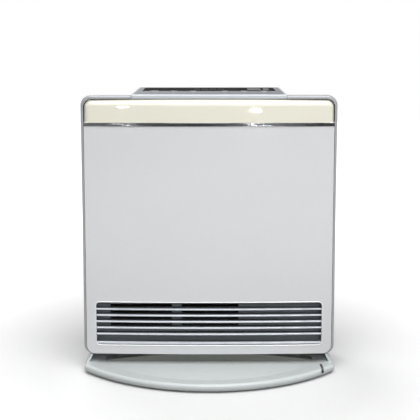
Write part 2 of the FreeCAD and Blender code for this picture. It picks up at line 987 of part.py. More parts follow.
def make_ledge():
    """The lowest slat, which lies on the frame's floor."""
    corner = outlet_block("ledge_room", front_limit, at_depth(s.frame_back))
    nose = bowed_band("ledge_nose", outlet_low, s.ledge_height, s.slat_recess, s.slat_nose_depth)
    plate = bowed_plate("ledge_plate", outlet_low, s.slat_plate,
                        s.slat_recess + half(s.slat_nose_depth))
    finish("outlet_ledge", overlap("outlet_ledge", join("ledge_solid", nose, plate), corner))


def make_guard():
    """Dark sheet behind the slats with the two windows that the fan blows through."""
    front = at_depth(s.frame_back)
    plate = box("guard_plate", (-outlet_half - s.frame_wall, outlet_half + s.frame_wall),
                (front, front + s.guard_sheet),
                (outlet_low - s.frame_wall, outlet_high + s.frame_wall))
    windows = []
    ends = ((s.guard_end - outlet_half, -s.guard_post_left),
            (-s.guard_post_right, fan_right - s.guard_fan_gap))
    for left, right in ends:
        windows.append(box("guard_window", (left, right),
                           (front - s.overrun, front + s.guard_sheet + s.overrun),
                           (outlet_low + s.guard_low, outlet_low + s.guard_high)))
    finish("outlet_guard", cut("outlet_guard", plate, *windows))


# Control panel
plate_far = at_depth(plate_depth)
apron_low = case_high - s.rim_top + s.seat_gap
apron_run = s.apron_depth - s.seat_gap


def plate_half_at(depth):
    """Half the width of the control panel at a depth behind the rim's front."""
    narrowing = plate_front_half - plate_back_half
    return plate_front_half - narrowing * depth / plate_depth


def plate_level(depth):
    """Height of the control panel's top at a depth behind the rim's front."""
    return case_high + s.plate_lift + s.plate_rise * depth / plate_depth


board_high = case_high - s.board_drop
board_low = board_high - s.board_sheet

KEYS = {
    "power_button": (1, 0),
    "child_lock_button": (0, 3),
    "timer_on_button": (0, 2),
    "timer_off_button": (0, 1),
    "temperature_down_button": (0, -1),
    "temperature_up_button": (0, -2),
}


def key_spot(name):
    """Middle of a button across the control panel, and its radius."""
    is_power, step = KEYS[name]
    if is_power:
        return -power_key_place, s.key_big_radius
    if step > 0:
        return power_key_place - key_spacing * (step - 1), s.key_small_radius
    return -power_key_place + key_spacing * (-step), s.key_small_radius


def key_holes(name, low, slack):
    """Upright rods through which all buttons pass."""
    rods = []
    for key in KEYS:
        across, radius = key_spot(key)
        rods.append(rod(name, "z", (across, at_depth(s.key_row), low), radius + slack,
                        s.key_height + s.overrun * 2))
    return rods


def window_block(name, slack, low_share, proud):
    """The display window's outline as a tapered block, made larger by a slack."""
    near = s.window_front - slack
    far = window_back + slack
    x_near = (-window_front_half - slack, window_front_half + slack)
    x_far = (-window_back_half - slack, window_back_half + slack)
    z_near = (plate_level(near) - low_share, plate_level(near) + proud)
    z_far = (plate_level(far) - low_share, plate_level(far) + proud)
    return taper(name, (at_depth(near), at_depth(far)), x_near, x_far, z_near, z_far)


def make_hood():
    """The lid with its apron: a side outline kept within a tapered plan, with soft edges."""
    side = prism("hood_side", "YZ_Plane", (-plate_front_half, plate_front_half),
                 [(rim_y, apron_low), (at_depth(apron_run), apron_low),
                  (at_depth(apron_run), top_level(apron_run)),
                  (plate_far, top_level(plate_depth)), (plate_far, plate_level(plate_depth)),
                  (rim_y, plate_level(ZERO))])
    plan = prism("hood_plan", "XY_Plane",
                 (top_level(plate_depth), plate_level(plate_depth)),
                 [(-plate_front_half, rim_y), (plate_front_half, rim_y),
                  (plate_back_half, plate_far), (-plate_back_half, plate_far)])

    def radius_of(edge):
        levels = [plate_level(as_size(vertex.Y) - rim_y).value for vertex in edge.Vertexes]
        on_top = [abs(vertex.Z - level) < TOUCH for vertex, level in zip(edge.Vertexes, levels)]
        if all(on_top) and lies_at(edge, "y", rim_y):
            return s.apron_round
        return s.plate_round if all(on_top) or runs_along(edge, "z") else None

    return rounded("housing_hood", overlap("hood_solid", side, plan), radius_of)


def make_control_housing():
    """Raised panel on top: a tapered lid with an apron in front and a tub let into the case."""
    tub = box("housing_tub", (-s.tub_half, s.tub_half),
              (at_depth(s.tub_front), at_depth(tub_back)), (case_high - s.tub_drop, case_high))
    solid = join("housing_solid", make_hood(), tub)
    wall = s.tub_wall
    hollow = taper("housing_hollow", (at_depth(s.tub_front + wall), at_depth(tub_back - wall)),
                   (-s.tub_half + wall, s.tub_half - wall),
                   (-s.tub_half + wall, s.tub_half - wall),
                   (case_high - s.tub_drop - s.overrun, plate_level(s.tub_front + wall) - wall),
                   (case_high - s.tub_drop - s.overrun, plate_level(tub_back - wall) - wall))
    shell = cut("housing_shell", solid, hollow)
    bosses = []
    for side in (-1, 1):
        for depth in (s.tub_front + wall + s.board_boss, tub_back - wall - s.board_boss):
            across = (s.tub_half - wall - s.board_boss) * side
            length = plate_level(depth) - half(wall) - board_high
            bosses.append(rod("housing_boss", "z", (across, at_depth(depth), board_high),
                              s.board_boss, length))
    window = window_block("housing_window", s.seat_gap, s.overrun * 2, s.overrun)
    finish("control_housing", cut("control_housing", join("housing_with_bosses", shell, *bosses),
                                  window, *key_holes("housing_key_hole", board_high, s.key_gap)))


def make_control_film():
    """Grey printed sheet on the lid, pierced for the window and the buttons."""
    near = s.apron_round + s.film_front_gap
    far = plate_depth - s.film_margin
    margin = s.film_margin
    sheet_body = taper("film_sheet", (at_depth(near), at_depth(far)),
                       (-plate_half_at(near) + margin, plate_half_at(near) - margin),
                       (-plate_half_at(far) + margin, plate_half_at(far) - margin),
                       (plate_level(near), plate_level(near) + s.film_sheet),
                       (plate_level(far), plate_level(far) + s.film_sheet))
    window = window_block("film_window", s.seat_gap, s.overrun, s.overrun)
    finish("control_film", cut("control_film", sheet_body, window,
                               *key_holes("film_key_hole", board_high, s.key_gap)))


def make_display():
    """Smoked window, circuit board, digit module, switches and buzzer under the lid."""
    proud = s.film_sheet + s.window_proud
    finish("display_window", window_block("display_window", ZERO, s.window_sheet, proud))
    margin = s.tub_wall + s.seat_gap
    finish("display_board", box("display_board",
                                (-s.tub_half + margin, s.tub_half - margin),
                                (at_depth(s.tub_front + margin), at_depth(tub_back - margin)),
                                (board_low, board_high)))
    level = plate_level(s.window_front) - s.window_sheet - s.seat_gap
    pieces = [box("digit_module", (-digit_half, digit_half),
                  (at_depth(s.window_front), at_depth(window_back)), (board_high, level))]
    switch_high = key_low() - s.key_travel - s.switch_slack
    for key in KEYS:
        across, _ = key_spot(key)
        reach = half(s.switch_side)
        pieces.append(box("key_switch", (across - reach, across + reach),
                          (at_depth(s.key_row - reach), at_depth(s.key_row + reach)),
                          (board_high, switch_high)))
    buzzer_high = case_high - half(s.board_drop)
    buzzer_spot = (buzzer_place, at_depth(half(s.window_front + window_back)), board_high)
    pieces.append(rod("buzzer", "z", buzzer_spot, s.buzzer_radius, buzzer_high - board_high))
    finish("display_components", group("display_components", *pieces))


def key_high():
    """Top of the buttons at rest."""
    return plate_level(s.key_row) + s.film_sheet + s.key_proud


def key_low():
    """Underside of the buttons at rest."""
    return key_high() - s.key_height


def make_buttons():
    """Six push buttons, each a cap with a flange that keeps it under the lid."""
    for key in KEYS:
        across, radius = key_spot(key)
        where = (across, at_depth(s.key_row))
        stem = rod(key + "_stem", "z", (*where, key_low()), radius, s.key_height)
        flange_low = key_low() + s.key_travel
        flange = rod(key + "_flange", "z", (*where, flange_low), radius + s.key_flange,
                     s.key_flange_sheet)
        body = join(key + "_body", stem, flange)

        def radius_of(edge):
            return s.key_round if lies_at(edge, "z", key_high()) else None

        finish(key, rounded(key, body, radius_of))


# Foot
tray_low = s.foot_height
tray_high = tray_low + s.tray_height
dish_level = tray_high - s.tray_dish
tray_tip = rim_y - s.tray_reach
tray_corner_y = tray_tip + s.tray_sagitta
tray_back = back_y + s.tray_tail
tray_ceiling = dish_level - s.tray_wall


def tray_corners(inset, back_inset=None):
    """Outline of the foot seen from above, moved inwards by an inset."""
    wide = tray_half - inset
    shoulder = tray_corner_y + inset * TRAY_SHOULDER_SHARE
    back = tray_back - (inset if back_inset is None else back_inset)
    corners = [(-wide, shoulder), (wide, shoulder), (wide, back), (-wide, back)]
    return corners, {0: (ZERO, tray_tip + inset)}


TRAY_SHOULDER_SHARE = 0.75
HOLLOW_MIDDLE_SHARE = 1 - math.sqrt(0.5)


def make_base_tray():
    """Wide dished foot with a bowed front, a rounded lip and two cheeks under the case."""
    body = tray_prism("base_tray_body", (tray_low, tray_high), ZERO, s.tray_corner)
    soften(body, s.tray_round, lambda edge: lies_at(edge, "z", tray_high))
    soften(body, s.tray_under_round, lambda edge: lies_at(edge, "z", tray_low))
    dish = make_dish()
    inset = s.tray_wall + s.tray_under_round
    hollow = tray_prism("tray_hollow", (tray_low - s.overrun, tray_ceiling), inset,
                        s.tray_corner - inset)
    open_tray = cut("tray_open", body, dish, hollow)
    shell = join("tray_shell", open_tray, *[make_cheek(side) for side in (-1, 1)])
    notch = box("tray_notch", (notch_place, notch_place + s.notch_width),
                (tray_tip, at_depth(ZERO) - s.notch_depth),
                (tray_high - s.tray_dish * 2, tray_high + s.overrun))
    holes = base_screw_rods("tray_hole", tray_low, tray_high + s.overrun,
                            s.screw_shank + s.screw_slack)
    finish("base_tray", cut("base_tray", shell, notch, *holes))


def make_dish():
    """The room of the dish: a flat floor that slopes up to the lip, upright at the back."""
    body = new_body("tray_dish")
    rings = []
    steps = ((dish_level, s.tray_lip + s.tray_slope), (tray_high, s.tray_lip),
             (tray_high + s.overrun, s.tray_lip))
    for level, inset in steps:
        corners, through = tray_corners(inset, s.tray_lip)
        rings.append(draw(body, "XY_Plane", level, corners, through))
    loft = body.newObject("PartDesign::AdditiveLoft", "tray_dish_loft")
    loft.Profile = rings[0]
    loft.Sections = rings[1:]
    loft.Ruled = True
    return body


def tray_prism(name, ends, inset, radius):
    """The foot's outline, moved inwards and with round corners, between two heights."""
    corners, through = tray_corners(inset)
    body = prism(name, "XY_Plane", ends, corners, through)
    soften(body, radius, lambda edge: runs_along(edge, "z"))
    return body


def make_cheek(side):
    """Leaning wall that rises from one end of the foot to the underside of the case."""
    outer = tray_half * side
    lean = s.cheek_lean * side
    top_thick = s.cheek_top_thick * side
    low = tray_ceiling
    foot = outer - s.tray_round * side
    inner = outer - s.cheek_thick * side
    hollow = s.cheek_hollow
    curve = (inner - hollow * side * HOLLOW_MIDDLE_SHARE, dish_level + hollow * HOLLOW_MIDDLE_SHARE)
    corners = [(foot, low), (outer, tray_high - s.tray_round), (outer - lean, case_low),
               (outer - lean - top_thick, case_low), (inner, dish_level + hollow),
               (inner - hollow * side, dish_level), (inner - hollow * side, low)]
    ends = (at_depth(s.cheek_front), back_y)
    return prism("tray_cheek", "XZ_Plane", ends, corners, {4: curve})


def make_base_neck():
    """Arched riser and hollow block that carry the case on the foot."""
    back = back_y - s.neck_back
    arch = prism("neck_arch", "XZ_Plane", (at_depth(s.arch_front), at_depth(s.arch_back)),
                 [(-arch_half, dish_level), (arch_half, dish_level),
                  (arch_half, dish_level + s.arch_foot),
                  (-arch_half, dish_level + s.arch_foot)],
                 {2: (ZERO, case_low - s.arch_under)})
    block = box("neck_block", (-neck_half, neck_half), (at_depth(s.neck_front), back),
                (dish_level, case_low))
    soften(arch, s.arch_round, lambda edge: lies_at(edge, "y", at_depth(s.arch_front))
           and edge.Curve.TypeId == "Part::GeomCircle")
    solid = join("neck_solid", arch, block)
    wall = s.neck_wall
    room = box("neck_room", (-neck_half + wall, neck_half - wall),
               (at_depth(s.neck_front + wall), back - wall),
               (dish_level - s.overrun, case_low - wall))
    shell = cut("neck_shell", solid, room)
    posts = base_screw_rods("neck_post", dish_level, case_low, s.screw_post)
    holes = base_screw_rods("neck_hole", dish_level - s.overrun, case_low + s.overrun,
                            s.screw_shank + s.screw_slack)
    finish("base_neck", cut("base_neck", join("neck_with_posts", shell, *posts), *holes))


def make_feet_and_screws():
    """Four rubber feet, the foot's screws and the back cover's screws."""
    feet = []
    for side in (-1, 1):
        for y in (tray_corner_y + s.foot_inset, tray_back - s.foot_inset):
            feet.append(rod("foot", "z", ((tray_half - s.foot_inset) * side, y, ZERO),
                            s.foot_radius, tray_ceiling))
    finish("rubber_feet", group("rubber_feet", *feet))
    heads = base_screw_rods("base_head", tray_ceiling - s.screw_head_height, tray_ceiling,
                            s.screw_head)
    shanks = base_screw_rods("base_shank", tray_ceiling, inner_low + s.base_screw_stand,
                             s.screw_shank)
    screws = [join("base_screw", head, shank) for head, shank in zip(heads, shanks)]
    for side in (-1, 1):
        for level in lug_levels():
            head = rod("cover_head", "y", (lug_centre(side), back_y, level), s.screw_head,
                       s.screw_head_height)
            shank = rod("cover_shank", "y", (lug_centre(side), back_y - s.lug_depth, level),
                        s.screw_shank, s.lug_depth)
            screws.append(join("cover_screw", head, shank))
    finish("case_screws", group("case_screws", *screws))


# Back
filter_low = case_low + s.slot_low - s.filter_border
plug_level = case_low + s.plug_rise


def make_rear_cover():
    """Flat steel back with rows of intake slots and holes for gas, cord and screws."""
    wide = inner_half - s.seat_gap
    high = top_level(s.case_depth) - s.case_sheet - s.seat_gap
    plate = rounded_block("cover_plate", (-wide, wide), (back_y - s.cover_sheet, back_y),
                          (inner_low + s.seat_gap, high),
                          s.bottom_corner - s.case_sheet, s.cover_corner)
    tools = []
    for column in range(COVER_SLOT_COLUMNS):
        across = s.slot_pitch_x * (column - half(COVER_SLOT_COLUMNS - 1))
        for row in range(COVER_SLOT_ROWS):
            low = case_low + s.slot_low + s.slot_pitch_z * row
            tools.append(box("cover_slot",
                             (across - half(s.slot_length), across + half(s.slot_length)),
                             (back_y - s.overrun, back_y + s.overrun),
                             (low, low + s.slot_height)))
    start = back_y - s.overrun
    for side in (-1, 1):
        for level in lug_levels():
            tools.append(rod("cover_hole", "y", (lug_centre(side), start, level),
                             s.screw_shank + s.screw_slack, s.overrun * 2))
    tools.append(rod("cover_gas_hole", "y", (plug_place, start, plug_level),
                     s.plug_nut + s.seat_gap, s.overrun * 2))
    tools.append(rod("cover_cord_hole", "y", (-plug_place, start, plug_level),
                     s.gland_body + s.seat_gap / 3, s.overrun * 2))
    finish("rear_cover", cut("rear_cover", plate, *tools))


def filter_span(side):
    """Left and right end of one filter frame."""
    outer = filter_inner + filter_width
    return (filter_inner, outer) if side > 0 else (-outer, -filter_inner)


def make_filter_rails():
    """Three upright rails and a sill on the back that hold the filters."""
    low = filter_low - s.rail_foot - s.seat_gap
    high = filter_low + filter_height
    web_depth = s.filter_depth + s.seat_gap * 2
    y_web = (back_y, back_y + web_depth)
    y_lip = (back_y + web_depth, back_y + web_depth + s.rail_lip_sheet)
    outer = filter_span(1)[1] + s.seat_gap
    parts = [
        box("rail_mid_web", (-half(s.rail_web), half(s.rail_web)), y_web, (low, high)),
        box("rail_mid_lip", (-half(s.rail_web) - s.rail_lip, half(s.rail_web) + s.rail_lip),
            y_lip, (low, high)),
        box("rail_sill", (-outer - s.rail_web, outer + s.rail_web), y_web,
            (low, low + s.rail_foot)),
    ]
    for side in (-1, 1):
        web = sorted((outer * side, (outer + s.rail_web) * side), key=lambda size: size.value)
        lip = sorted(((outer - s.rail_lip) * side, (outer + s.rail_web) * side),
                     key=lambda size: size.value)
        parts.append(box("rail_web", web, y_web, (low, high)))
        parts.append(box("rail_lip", lip, y_lip, (low, high)))
    finish("filter_rails", join("filter_rails", *parts))


def make_filter(name, side):
    """One lift-out filter: a ribbed frame with a pull tab, and its fine mesh."""
    x = filter_span(side)
    y = (back_y + s.seat_gap, back_y + s.seat_gap + s.filter_depth)
    z = (filter_low, filter_low + filter_height)
    border = s.filter_border
    inner_x = (x[0] + border, x[1] - border)
    inner_z = (z[0] + border, z[1] - border)
    frame = cut(name + "_border", box(name + "_plate", x, y, z),
                box(name + "_hole", inner_x, (y[0] - s.overrun, y[1] + s.overrun), inner_z))
    y_rib = (y[1] - s.filter_rib_depth, y[1])
    ribs = []
    cell_x = (inner_x[1] - inner_x[0]) / (FILTER_RIB_COLUMNS + 1)
    cell_z = (inner_z[1] - inner_z[0]) / (FILTER_RIB_ROWS + 1)
    for column in range(1, FILTER_RIB_COLUMNS + 1):
        middle = inner_x[0] + cell_x * column
        ribs.append(box(name + "_rib", (middle - half(s.filter_rib), middle + half(s.filter_rib)),
                        y_rib, inner_z))
    for row in range(1, FILTER_RIB_ROWS + 1):
        middle = inner_z[0] + cell_z * row
        ribs.append(box(name + "_rib", inner_x, y_rib,
                        (middle - half(s.filter_rib), middle + half(s.filter_rib))))
    centre = half(x[0] + x[1])
    tab = box(name + "_tab", (centre - half(s.filter_tab), centre + half(s.filter_tab)), y,
              (z[1], z[1] + s.filter_tab_rise))
    finish("filter_frame_" + name, join("filter_frame_" + name, frame, tab, *ribs))
    mesh = box("filter_mesh_" + name, inner_x, (y_rib[0] - s.filter_mesh, y_rib[0]), inner_z)
    finish("filter_mesh_" + name, mesh)


def make_gas_plug():
    """Brass hose end: a nut inside the cover, a collar and a plain spigot for the hose."""
    where = plug_place
    nut_front = back_y - s.plug_nut_depth
    nut = rod("plug_nut", "y", (where, nut_front, plug_level), s.plug_nut, s.plug_nut_depth)
    collar = rod("plug_collar", "y", (where, back_y, plug_level), s.plug_collar,
                 s.plug_collar_sheet)
    spigot_length = s.plug_reach - s.plug_collar_sheet - s.plug_nose
    spigot = rod("plug_spigot", "y", (where, back_y + s.plug_collar_sheet, plug_level),
                 s.plug_spigot, spigot_length)
    nose = cone("plug_tip", "y", (where, back_y + s.plug_collar_sheet + spigot_length, plug_level),
                s.plug_spigot, s.plug_nose_tip, s.plug_nose)
    solid = join("plug_solid", nut, collar, spigot, nose)
    bore = rod("plug_bore", "y", (where, nut_front - s.overrun, plug_level), s.plug_bore,
               s.plug_nut_depth + s.plug_reach + s.overrun * 2)
    finish("gas_inlet", cut("gas_inlet", solid, bore))


def make_cord_gland():
    """Rubber gland through which the mains cord enters."""
    where = -plug_place
    flange = rod("gland_flange", "y", (where, back_y, plug_level), s.gland_flange, s.gland_sheet)
    barrel = rod("gland_barrel", "y", (where, back_y - s.gland_depth, plug_level), s.gland_body,
                 s.gland_depth)
    bore = rod("gland_bore", "y", (where, back_y - s.gland_depth - s.overrun, plug_level),
               s.gland_bore, s.gland_depth + s.gland_sheet + s.overrun * 2)
    finish("cord_gland", cut("cord_gland", join("gland_solid", flange, barrel), bore))


def make_room_thermistor():
    """Small bead holder on the back that senses the room air."""
    finish("room_thermistor", rod("room_thermistor", "y",
                                  (-plug_place, back_y, case_low + s.thermistor_rise),
                                  s.thermistor_radius, s.thermistor_depth))


# Shelf, duct and fan
shelf_low = case_low + s.shelf_rise
shelf_high = shelf_low + s.shelf_sheet
fan_y = at_depth(fan_axis_depth)
fan_z = case_low + s.fan_axis_rise
guard_back = at_depth(s.frame_back + s.guard_sheet)


def make_shelf():
    """Folded steel shelf between the fan below and the burner above."""
    wide = inner_half - s.seat_gap
    y = (at_depth(s.rim_depth + s.case_sheet), back_y - s.cover_sheet - s.lug_depth - s.seat_gap)
    plate = box("shelf_plate", (-wide, wide), y, (shelf_low, shelf_high))
    flanges = []
    for side in (-1, 1):
        ends = sorted((wide * side, (wide - s.shelf_sheet) * side), key=lambda size: size.value)
        flanges.append(box("shelf_flange", ends, y, (shelf_low, shelf_high + s.shelf_flange)))
    solid = join("shelf_solid", plate, *flanges)
    tools = []
    fan_middle = half(fan_right - fan_left)
    for number in range(SHELF_SLOTS):
        across = fan_middle + s.shelf_slot_pitch * (number - half(SHELF_SLOTS - 1))
        tools.append(box("shelf_slot",
                         (across - half(s.shelf_slot), across + half(s.shelf_slot)),
                         (at_depth(s.shelf_slot_front), at_depth(shelf_slot_back)),
                         (shelf_low - s.overrun, shelf_high + s.overrun)))
    tools.append(rod("shelf_pipe_hole", "z", (plug_place, pipe_y, shelf_low - s.overrun),
                     s.pipe_radius + s.seat_gap, s.overrun * 2 + s.shelf_sheet))
    finish("mid_shelf", cut("mid_shelf", solid, *tools))


def make_fan_duct():
    """Sheet scroll round the fan, with end plates, open to the outlet and to the shelf."""
    left = (-duct_left, -duct_left + s.duct_sheet)
    right = (duct_right - s.duct_sheet, duct_right)
    y = (guard_back, at_depth(duct_back))
    ends = [box("duct_end", x, y, (inner_low, shelf_low)) for x in (left, right)]
    inner_run = duct_left + duct_right - s.duct_sheet * 2
    start = (left[1], fan_y, fan_z)
    tube = cut("duct_tube", rod("duct_outer", "x", start, scroll_radius + s.scroll_sheet,
                                inner_run),
               rod("duct_inner", "x", (left[0], fan_y, fan_z), scroll_radius,
                   duct_left + duct_right))
    mouth = box("duct_mouth", (-duct_left, duct_right), (guard_back - s.overrun, fan_y),
                (fan_z - mouth_low, fan_z + mouth_high))
    intake = box("duct_intake", (-duct_left, duct_right),
                 (fan_y - s.intake_front, back_y),
                 (fan_z + s.intake_low, shelf_low + s.overrun))
    scroll = cut("duct_scroll", tube, mouth, intake)
    lip_low = box("duct_lip_low", (left[1], right[0]), (guard_back, guard_back + s.lead_in),
                  (fan_z - mouth_low - s.scroll_sheet, fan_z - mouth_low))
    lip_high = box("duct_lip_high", (left[1], right[0]), (guard_back, guard_back + s.lead_in),
                   (fan_z + mouth_high, fan_z + mouth_high + s.scroll_sheet))
    solid = join("duct_solid", scroll, lip_low, lip_high, *ends)
    bush_hole = rod("duct_bush_hole", "x", (-duct_left - s.overrun, fan_y, fan_z),
                    s.bush_barrel + s.screw_slack, s.overrun * 2)
    motor_hole = rod("duct_motor_hole", "x", (duct_right - s.overrun, fan_y, fan_z),
                     s.motor_boss + s.seat_gap, s.overrun * 2)
    finish("fan_duct", cut("fan_duct", solid, bush_hole, motor_hole))


def make_fan():
    """Long drum fan of thin blades on three discs, with its shaft."""
    length = fan_left + fan_right
    start = -fan_left
    discs = []
    for place_x in (start, start + half(length - s.fan_disc), fan_right - s.fan_disc):
        discs.append(rod("fan_disc", "x", (place_x, fan_y, fan_z), fan_radius, s.fan_disc))
    bore = rod("fan_bore", "x", (start - s.overrun, fan_y, fan_z),
               s.shaft_radius + s.shaft_slack / 2, length + s.overrun * 2)
    blades = []
    for number in range(FAN_BLADES):
        blades.append(fan_blade(FULL_TURN * number / FAN_BLADES, start, length))
    drum = join("fan_drum", *discs, *blades)
    finish("fan_rotor", cut("fan_rotor", drum, bore))
    shaft_start = -duct_left - s.bush_flange_sheet
    shaft_end = duct_right + s.motor_bore_depth - s.seat_gap
    finish("fan_shaft", rod("fan_shaft", "x", (shaft_start, fan_y, fan_z), s.shaft_radius,
                            shaft_end - shaft_start))


BLADE_PITCH = 25.0


def fan_blade(turn, start, length):
    """One flat blade, leaning against the radius, at a turn about the fan's axis."""
    blade = doc.addObject("Part::Box", "fan_blade")
    blade.setExpression("Length", length.text)
    blade.setExpression("Width", s.blade_width.text)
    blade.setExpression("Height", s.blade_sheet.text)
    away = fan_radius - s.blade_width
    angle = math.radians(turn)
    across = away * math.cos(angle)
    up = away * math.sin(angle)
    lean = FreeCAD.Rotation(FreeCAD.Vector(1, 0, 0), turn + BLADE_PITCH)
    blade.Placement = FreeCAD.Placement(FreeCAD.Vector(), lean)
    place(blade, start, fan_y + across, fan_z + up)
    return blade


def make_bush_and_motor():
    """Flanged bush at the fan's left end and the motor at its right end."""
    flange = rod("bush_flange", "x", (-duct_left - s.bush_flange_sheet, fan_y, fan_z),
                 s.bush_flange, s.bush_flange_sheet)
    barrel = rod("bush_barrel", "x", (-duct_left, fan_y, fan_z), s.bush_barrel,
                 s.bush_barrel_reach)
    bore = rod("bush_bore", "x", (-duct_left - s.overrun, fan_y, fan_z),
               s.shaft_radius + s.shaft_slack, s.overrun * 2 + s.bush_barrel_reach)
    finish("fan_bush", cut("fan_bush", join("bush_solid", flange, barrel), bore))
    start = duct_right
    plate = box("motor_plate", (start, start + s.motor_flange_sheet),
                (fan_y - motor_flange, fan_y + motor_flange),
                (fan_z - motor_flange, fan_z + motor_flange))
    boss = rod("motor_boss", "x", (start, fan_y, fan_z), s.motor_boss, s.motor_stand)
    can = rod("motor_can", "x", (start + s.motor_stand, fan_y, fan_z), motor_radius,
              s.motor_length)
    tail = rod("motor_tail", "x", (start + s.motor_stand + s.motor_length, fan_y, fan_z),
               s.motor_boss, s.motor_tail)
    hole = rod("motor_bore", "x", (start - s.overrun, fan_y, fan_z),
               s.shaft_radius + s.shaft_slack, s.overrun + s.motor_bore_depth)
    finish("fan_motor", cut("fan_motor", join("motor_solid", plate, boss, can, tail), hole))


# Burner and chamber
manifold_z = shelf_high + s.manifold_rise
burner_y = at_depth(s.chamber_front + chamber_half)
chamber_high = case_high - s.chamber_headroom
burner_low = shelf_high + s.burner_lift
burner_high = burner_low + s.burner_height


def make_chamber():
    """Sheet chamber over the burner: long end plates, a skirt above the burner, flue slots."""
    wall = s.chamber_sheet
    x = (-chamber_left, chamber_right)
    y = (at_depth(s.chamber_front), at_depth(chamber_back))
    outer = box("chamber_outer", x, y, (shelf_high, chamber_high))
    inner = box("chamber_inner", (x[0] + wall, x[1] - wall), (y[0] + wall, y[1] - wall),
                (shelf_high - s.overrun, chamber_high - wall))
    window = box("chamber_window", (x[0] + wall, x[1] - wall), (y[0] - s.overrun, y[1] + s.overrun),
                 (shelf_high - s.overrun, shelf_high + s.chamber_skirt))
    tools = [inner, window]
    centre = half(x[0] + x[1])
    for number in range(FLUE_SLOTS):
        across = centre + s.flue_slot_pitch * (number - half(FLUE_SLOTS - 1))
        tools.append(box("chamber_slot", (across - half(s.flue_slot), across + half(s.flue_slot)),
                         (burner_y - flue_slot_half, burner_y + flue_slot_half),
                         (chamber_high - s.overrun, chamber_high + s.overrun)))
    tools.append(rod("chamber_gas_hole", "x", (x[1] - s.overrun, burner_y, manifold_z),
                     s.manifold_radius + s.seat_gap, s.overrun * 2))
    for y_probe in probe_places():
        tools.append(rod("chamber_probe_hole", "x", (x[1] - s.overrun, y_probe, probe_z),
                         s.probe_ceramic + s.manifold_slack, s.overrun * 2))
    finish("burner_chamber", cut("burner_chamber", outer, *tools))


probe_z = shelf_high + s.probe_rise


def probe_places():
    """Depths of the spark electrode and the flame sensor."""
    return (burner_y - s.probe_gap, burner_y + s.probe_gap)


def make_burner():
    """Hollow burner head on two legs, with flame ports in its top."""
    x = (-burner_left, burner_right)
    y = (burner_y - burner_half, burner_y + burner_half)
    head = box("burner_head", x, y, (burner_low, burner_high))
    wall = s.burner_wall
    room = box("burner_room", (x[0] + wall, x[1] - wall), (y[0] + wall, y[1] - wall),
               (burner_low + wall, burner_high - wall))
    legs = [box("burner_leg", (x[0], x[0] + s.burner_leg), y, (shelf_high, burner_low)),
            box("burner_leg", (x[1] - s.burner_leg, x[1]), y, (shelf_high, burner_low))]
    tools = [room]
    centre = half(x[0] + x[1])
    for number in range(BURNER_PORTS):
        across = centre + s.port_pitch * (number - half(BURNER_PORTS - 1))
        tools.append(box("burner_port", (across - half(s.port_width), across + half(s.port_width)),
                         (burner_y - port_half, burner_y + port_half),
                         (burner_high - wall - s.overrun / 2, burner_high + s.overrun)))
    for across in nozzle_places():
        tools.append(rod("burner_throat", "z", (across, burner_y, burner_low - s.overrun),
                         s.nozzle_radius * 2, s.overrun + wall * 2))
    tools.append(rod("burner_gas_hole", "x", (x[0] - s.overrun, burner_y, manifold_z),
                     s.manifold_radius + s.manifold_slack,
                     burner_left + burner_right + s.overrun * 2))
    finish("burner", cut("burner", join("burner_solid", head, *legs), *tools))


def nozzle_places():
    """Middles of the gas nozzles along the manifold."""
    centre = half(burner_right - burner_left)
    return [centre + s.nozzle_pitch * (number - half(NOZZLES - 1)) for number in range(NOZZLES)]


def make_manifold():
    """Gas tube under the burner with a nozzle below each throat."""
    start = -burner_left
    tube = rod("manifold_tube", "x", (start, burner_y, manifold_z), s.manifold_radius,
               valve_left - start)
    nozzles = [rod("manifold_nozzle", "z", (across, burner_y, manifold_z), s.nozzle_radius,
                   s.nozzle_height) for across in nozzle_places()]
    finish("gas_manifold", join("gas_manifold", tube, *nozzles))


def make_heat_shield():
    """Bright sheet between the chamber and the front, stood off by dimples."""
    y = (at_depth(s.shield_front), at_depth(s.shield_front) + s.shield_sheet)
    x = (-chamber_left - s.shield_over, chamber_right + s.shield_over)
    z = (shelf_high + s.shield_low, chamber_high + s.shield_top_over)
    plate = box("shield_plate", x, y, z)
    dimples = []
    for across in (-chamber_left + s.dimple_inset, chamber_right - s.dimple_inset):
        for level in (shelf_high + s.chamber_skirt + s.dimple_inset,
                      chamber_high - s.dimple_inset):
            dimples.append(rod("shield_dimple", "y", (across, y[0], level), s.dimple_radius,
                               s.chamber_front - s.shield_front))
    finish("heat_shield", join("heat_shield", plate, *dimples))


def make_probes():
    """Spark electrode and flame sensor through the chamber's right end."""
    probes = []
    for name, y_probe in zip(("spark_electrode", "flame_sensor"), probe_places()):
        start = chamber_right - s.probe_in
        ceramic = rod(name + "_ceramic", "x", (start, y_probe, probe_z), s.probe_ceramic,
                      s.probe_in + s.probe_out)
        wire = rod(name + "_wire", "x", (start - s.probe_wire_reach, y_probe, probe_z),
                   s.probe_wire, s.probe_wire_reach + half(s.probe_in))
        probes.append(join(name, ceramic, wire))
    finish("burner_probes", group("burner_probes", *probes))
    across = chamber_right - s.overheat_inset
    finish("overheat_switch", rod("overheat_switch", "z", (across, burner_y, chamber_high),
                                  s.overheat_radius, s.overheat_height))


# Electric and gas side
wall_right = wall_place + s.wall_sheet
pipe_y = at_depth(fan_axis_depth)
valve_low = shelf_high
valve_high = valve_low + s.valve_height


def make_side_wall():
    """Upright sheet between the hot side and the electric side."""
    y = (at_depth(s.wall_front), at_depth(wall_back) - s.lug_depth)
    plate = box("side_wall_plate", (wall_place, wall_right), y,
                (shelf_high, case_high - s.wall_headroom))
    hole = rod("side_wall_hole", "x", (wall_place - s.overrun, burner_y, manifold_z),
               s.manifold_radius + s.seat_gap, s.overrun * 2)
    finish("side_wall", cut("side_wall", plate, hole))


def coil_places():
    """Middles of the two valve coils across the heater."""
    centre = half(valve_left + valve_right)
    return (centre - s.coil_spread, centre + s.coil_spread)


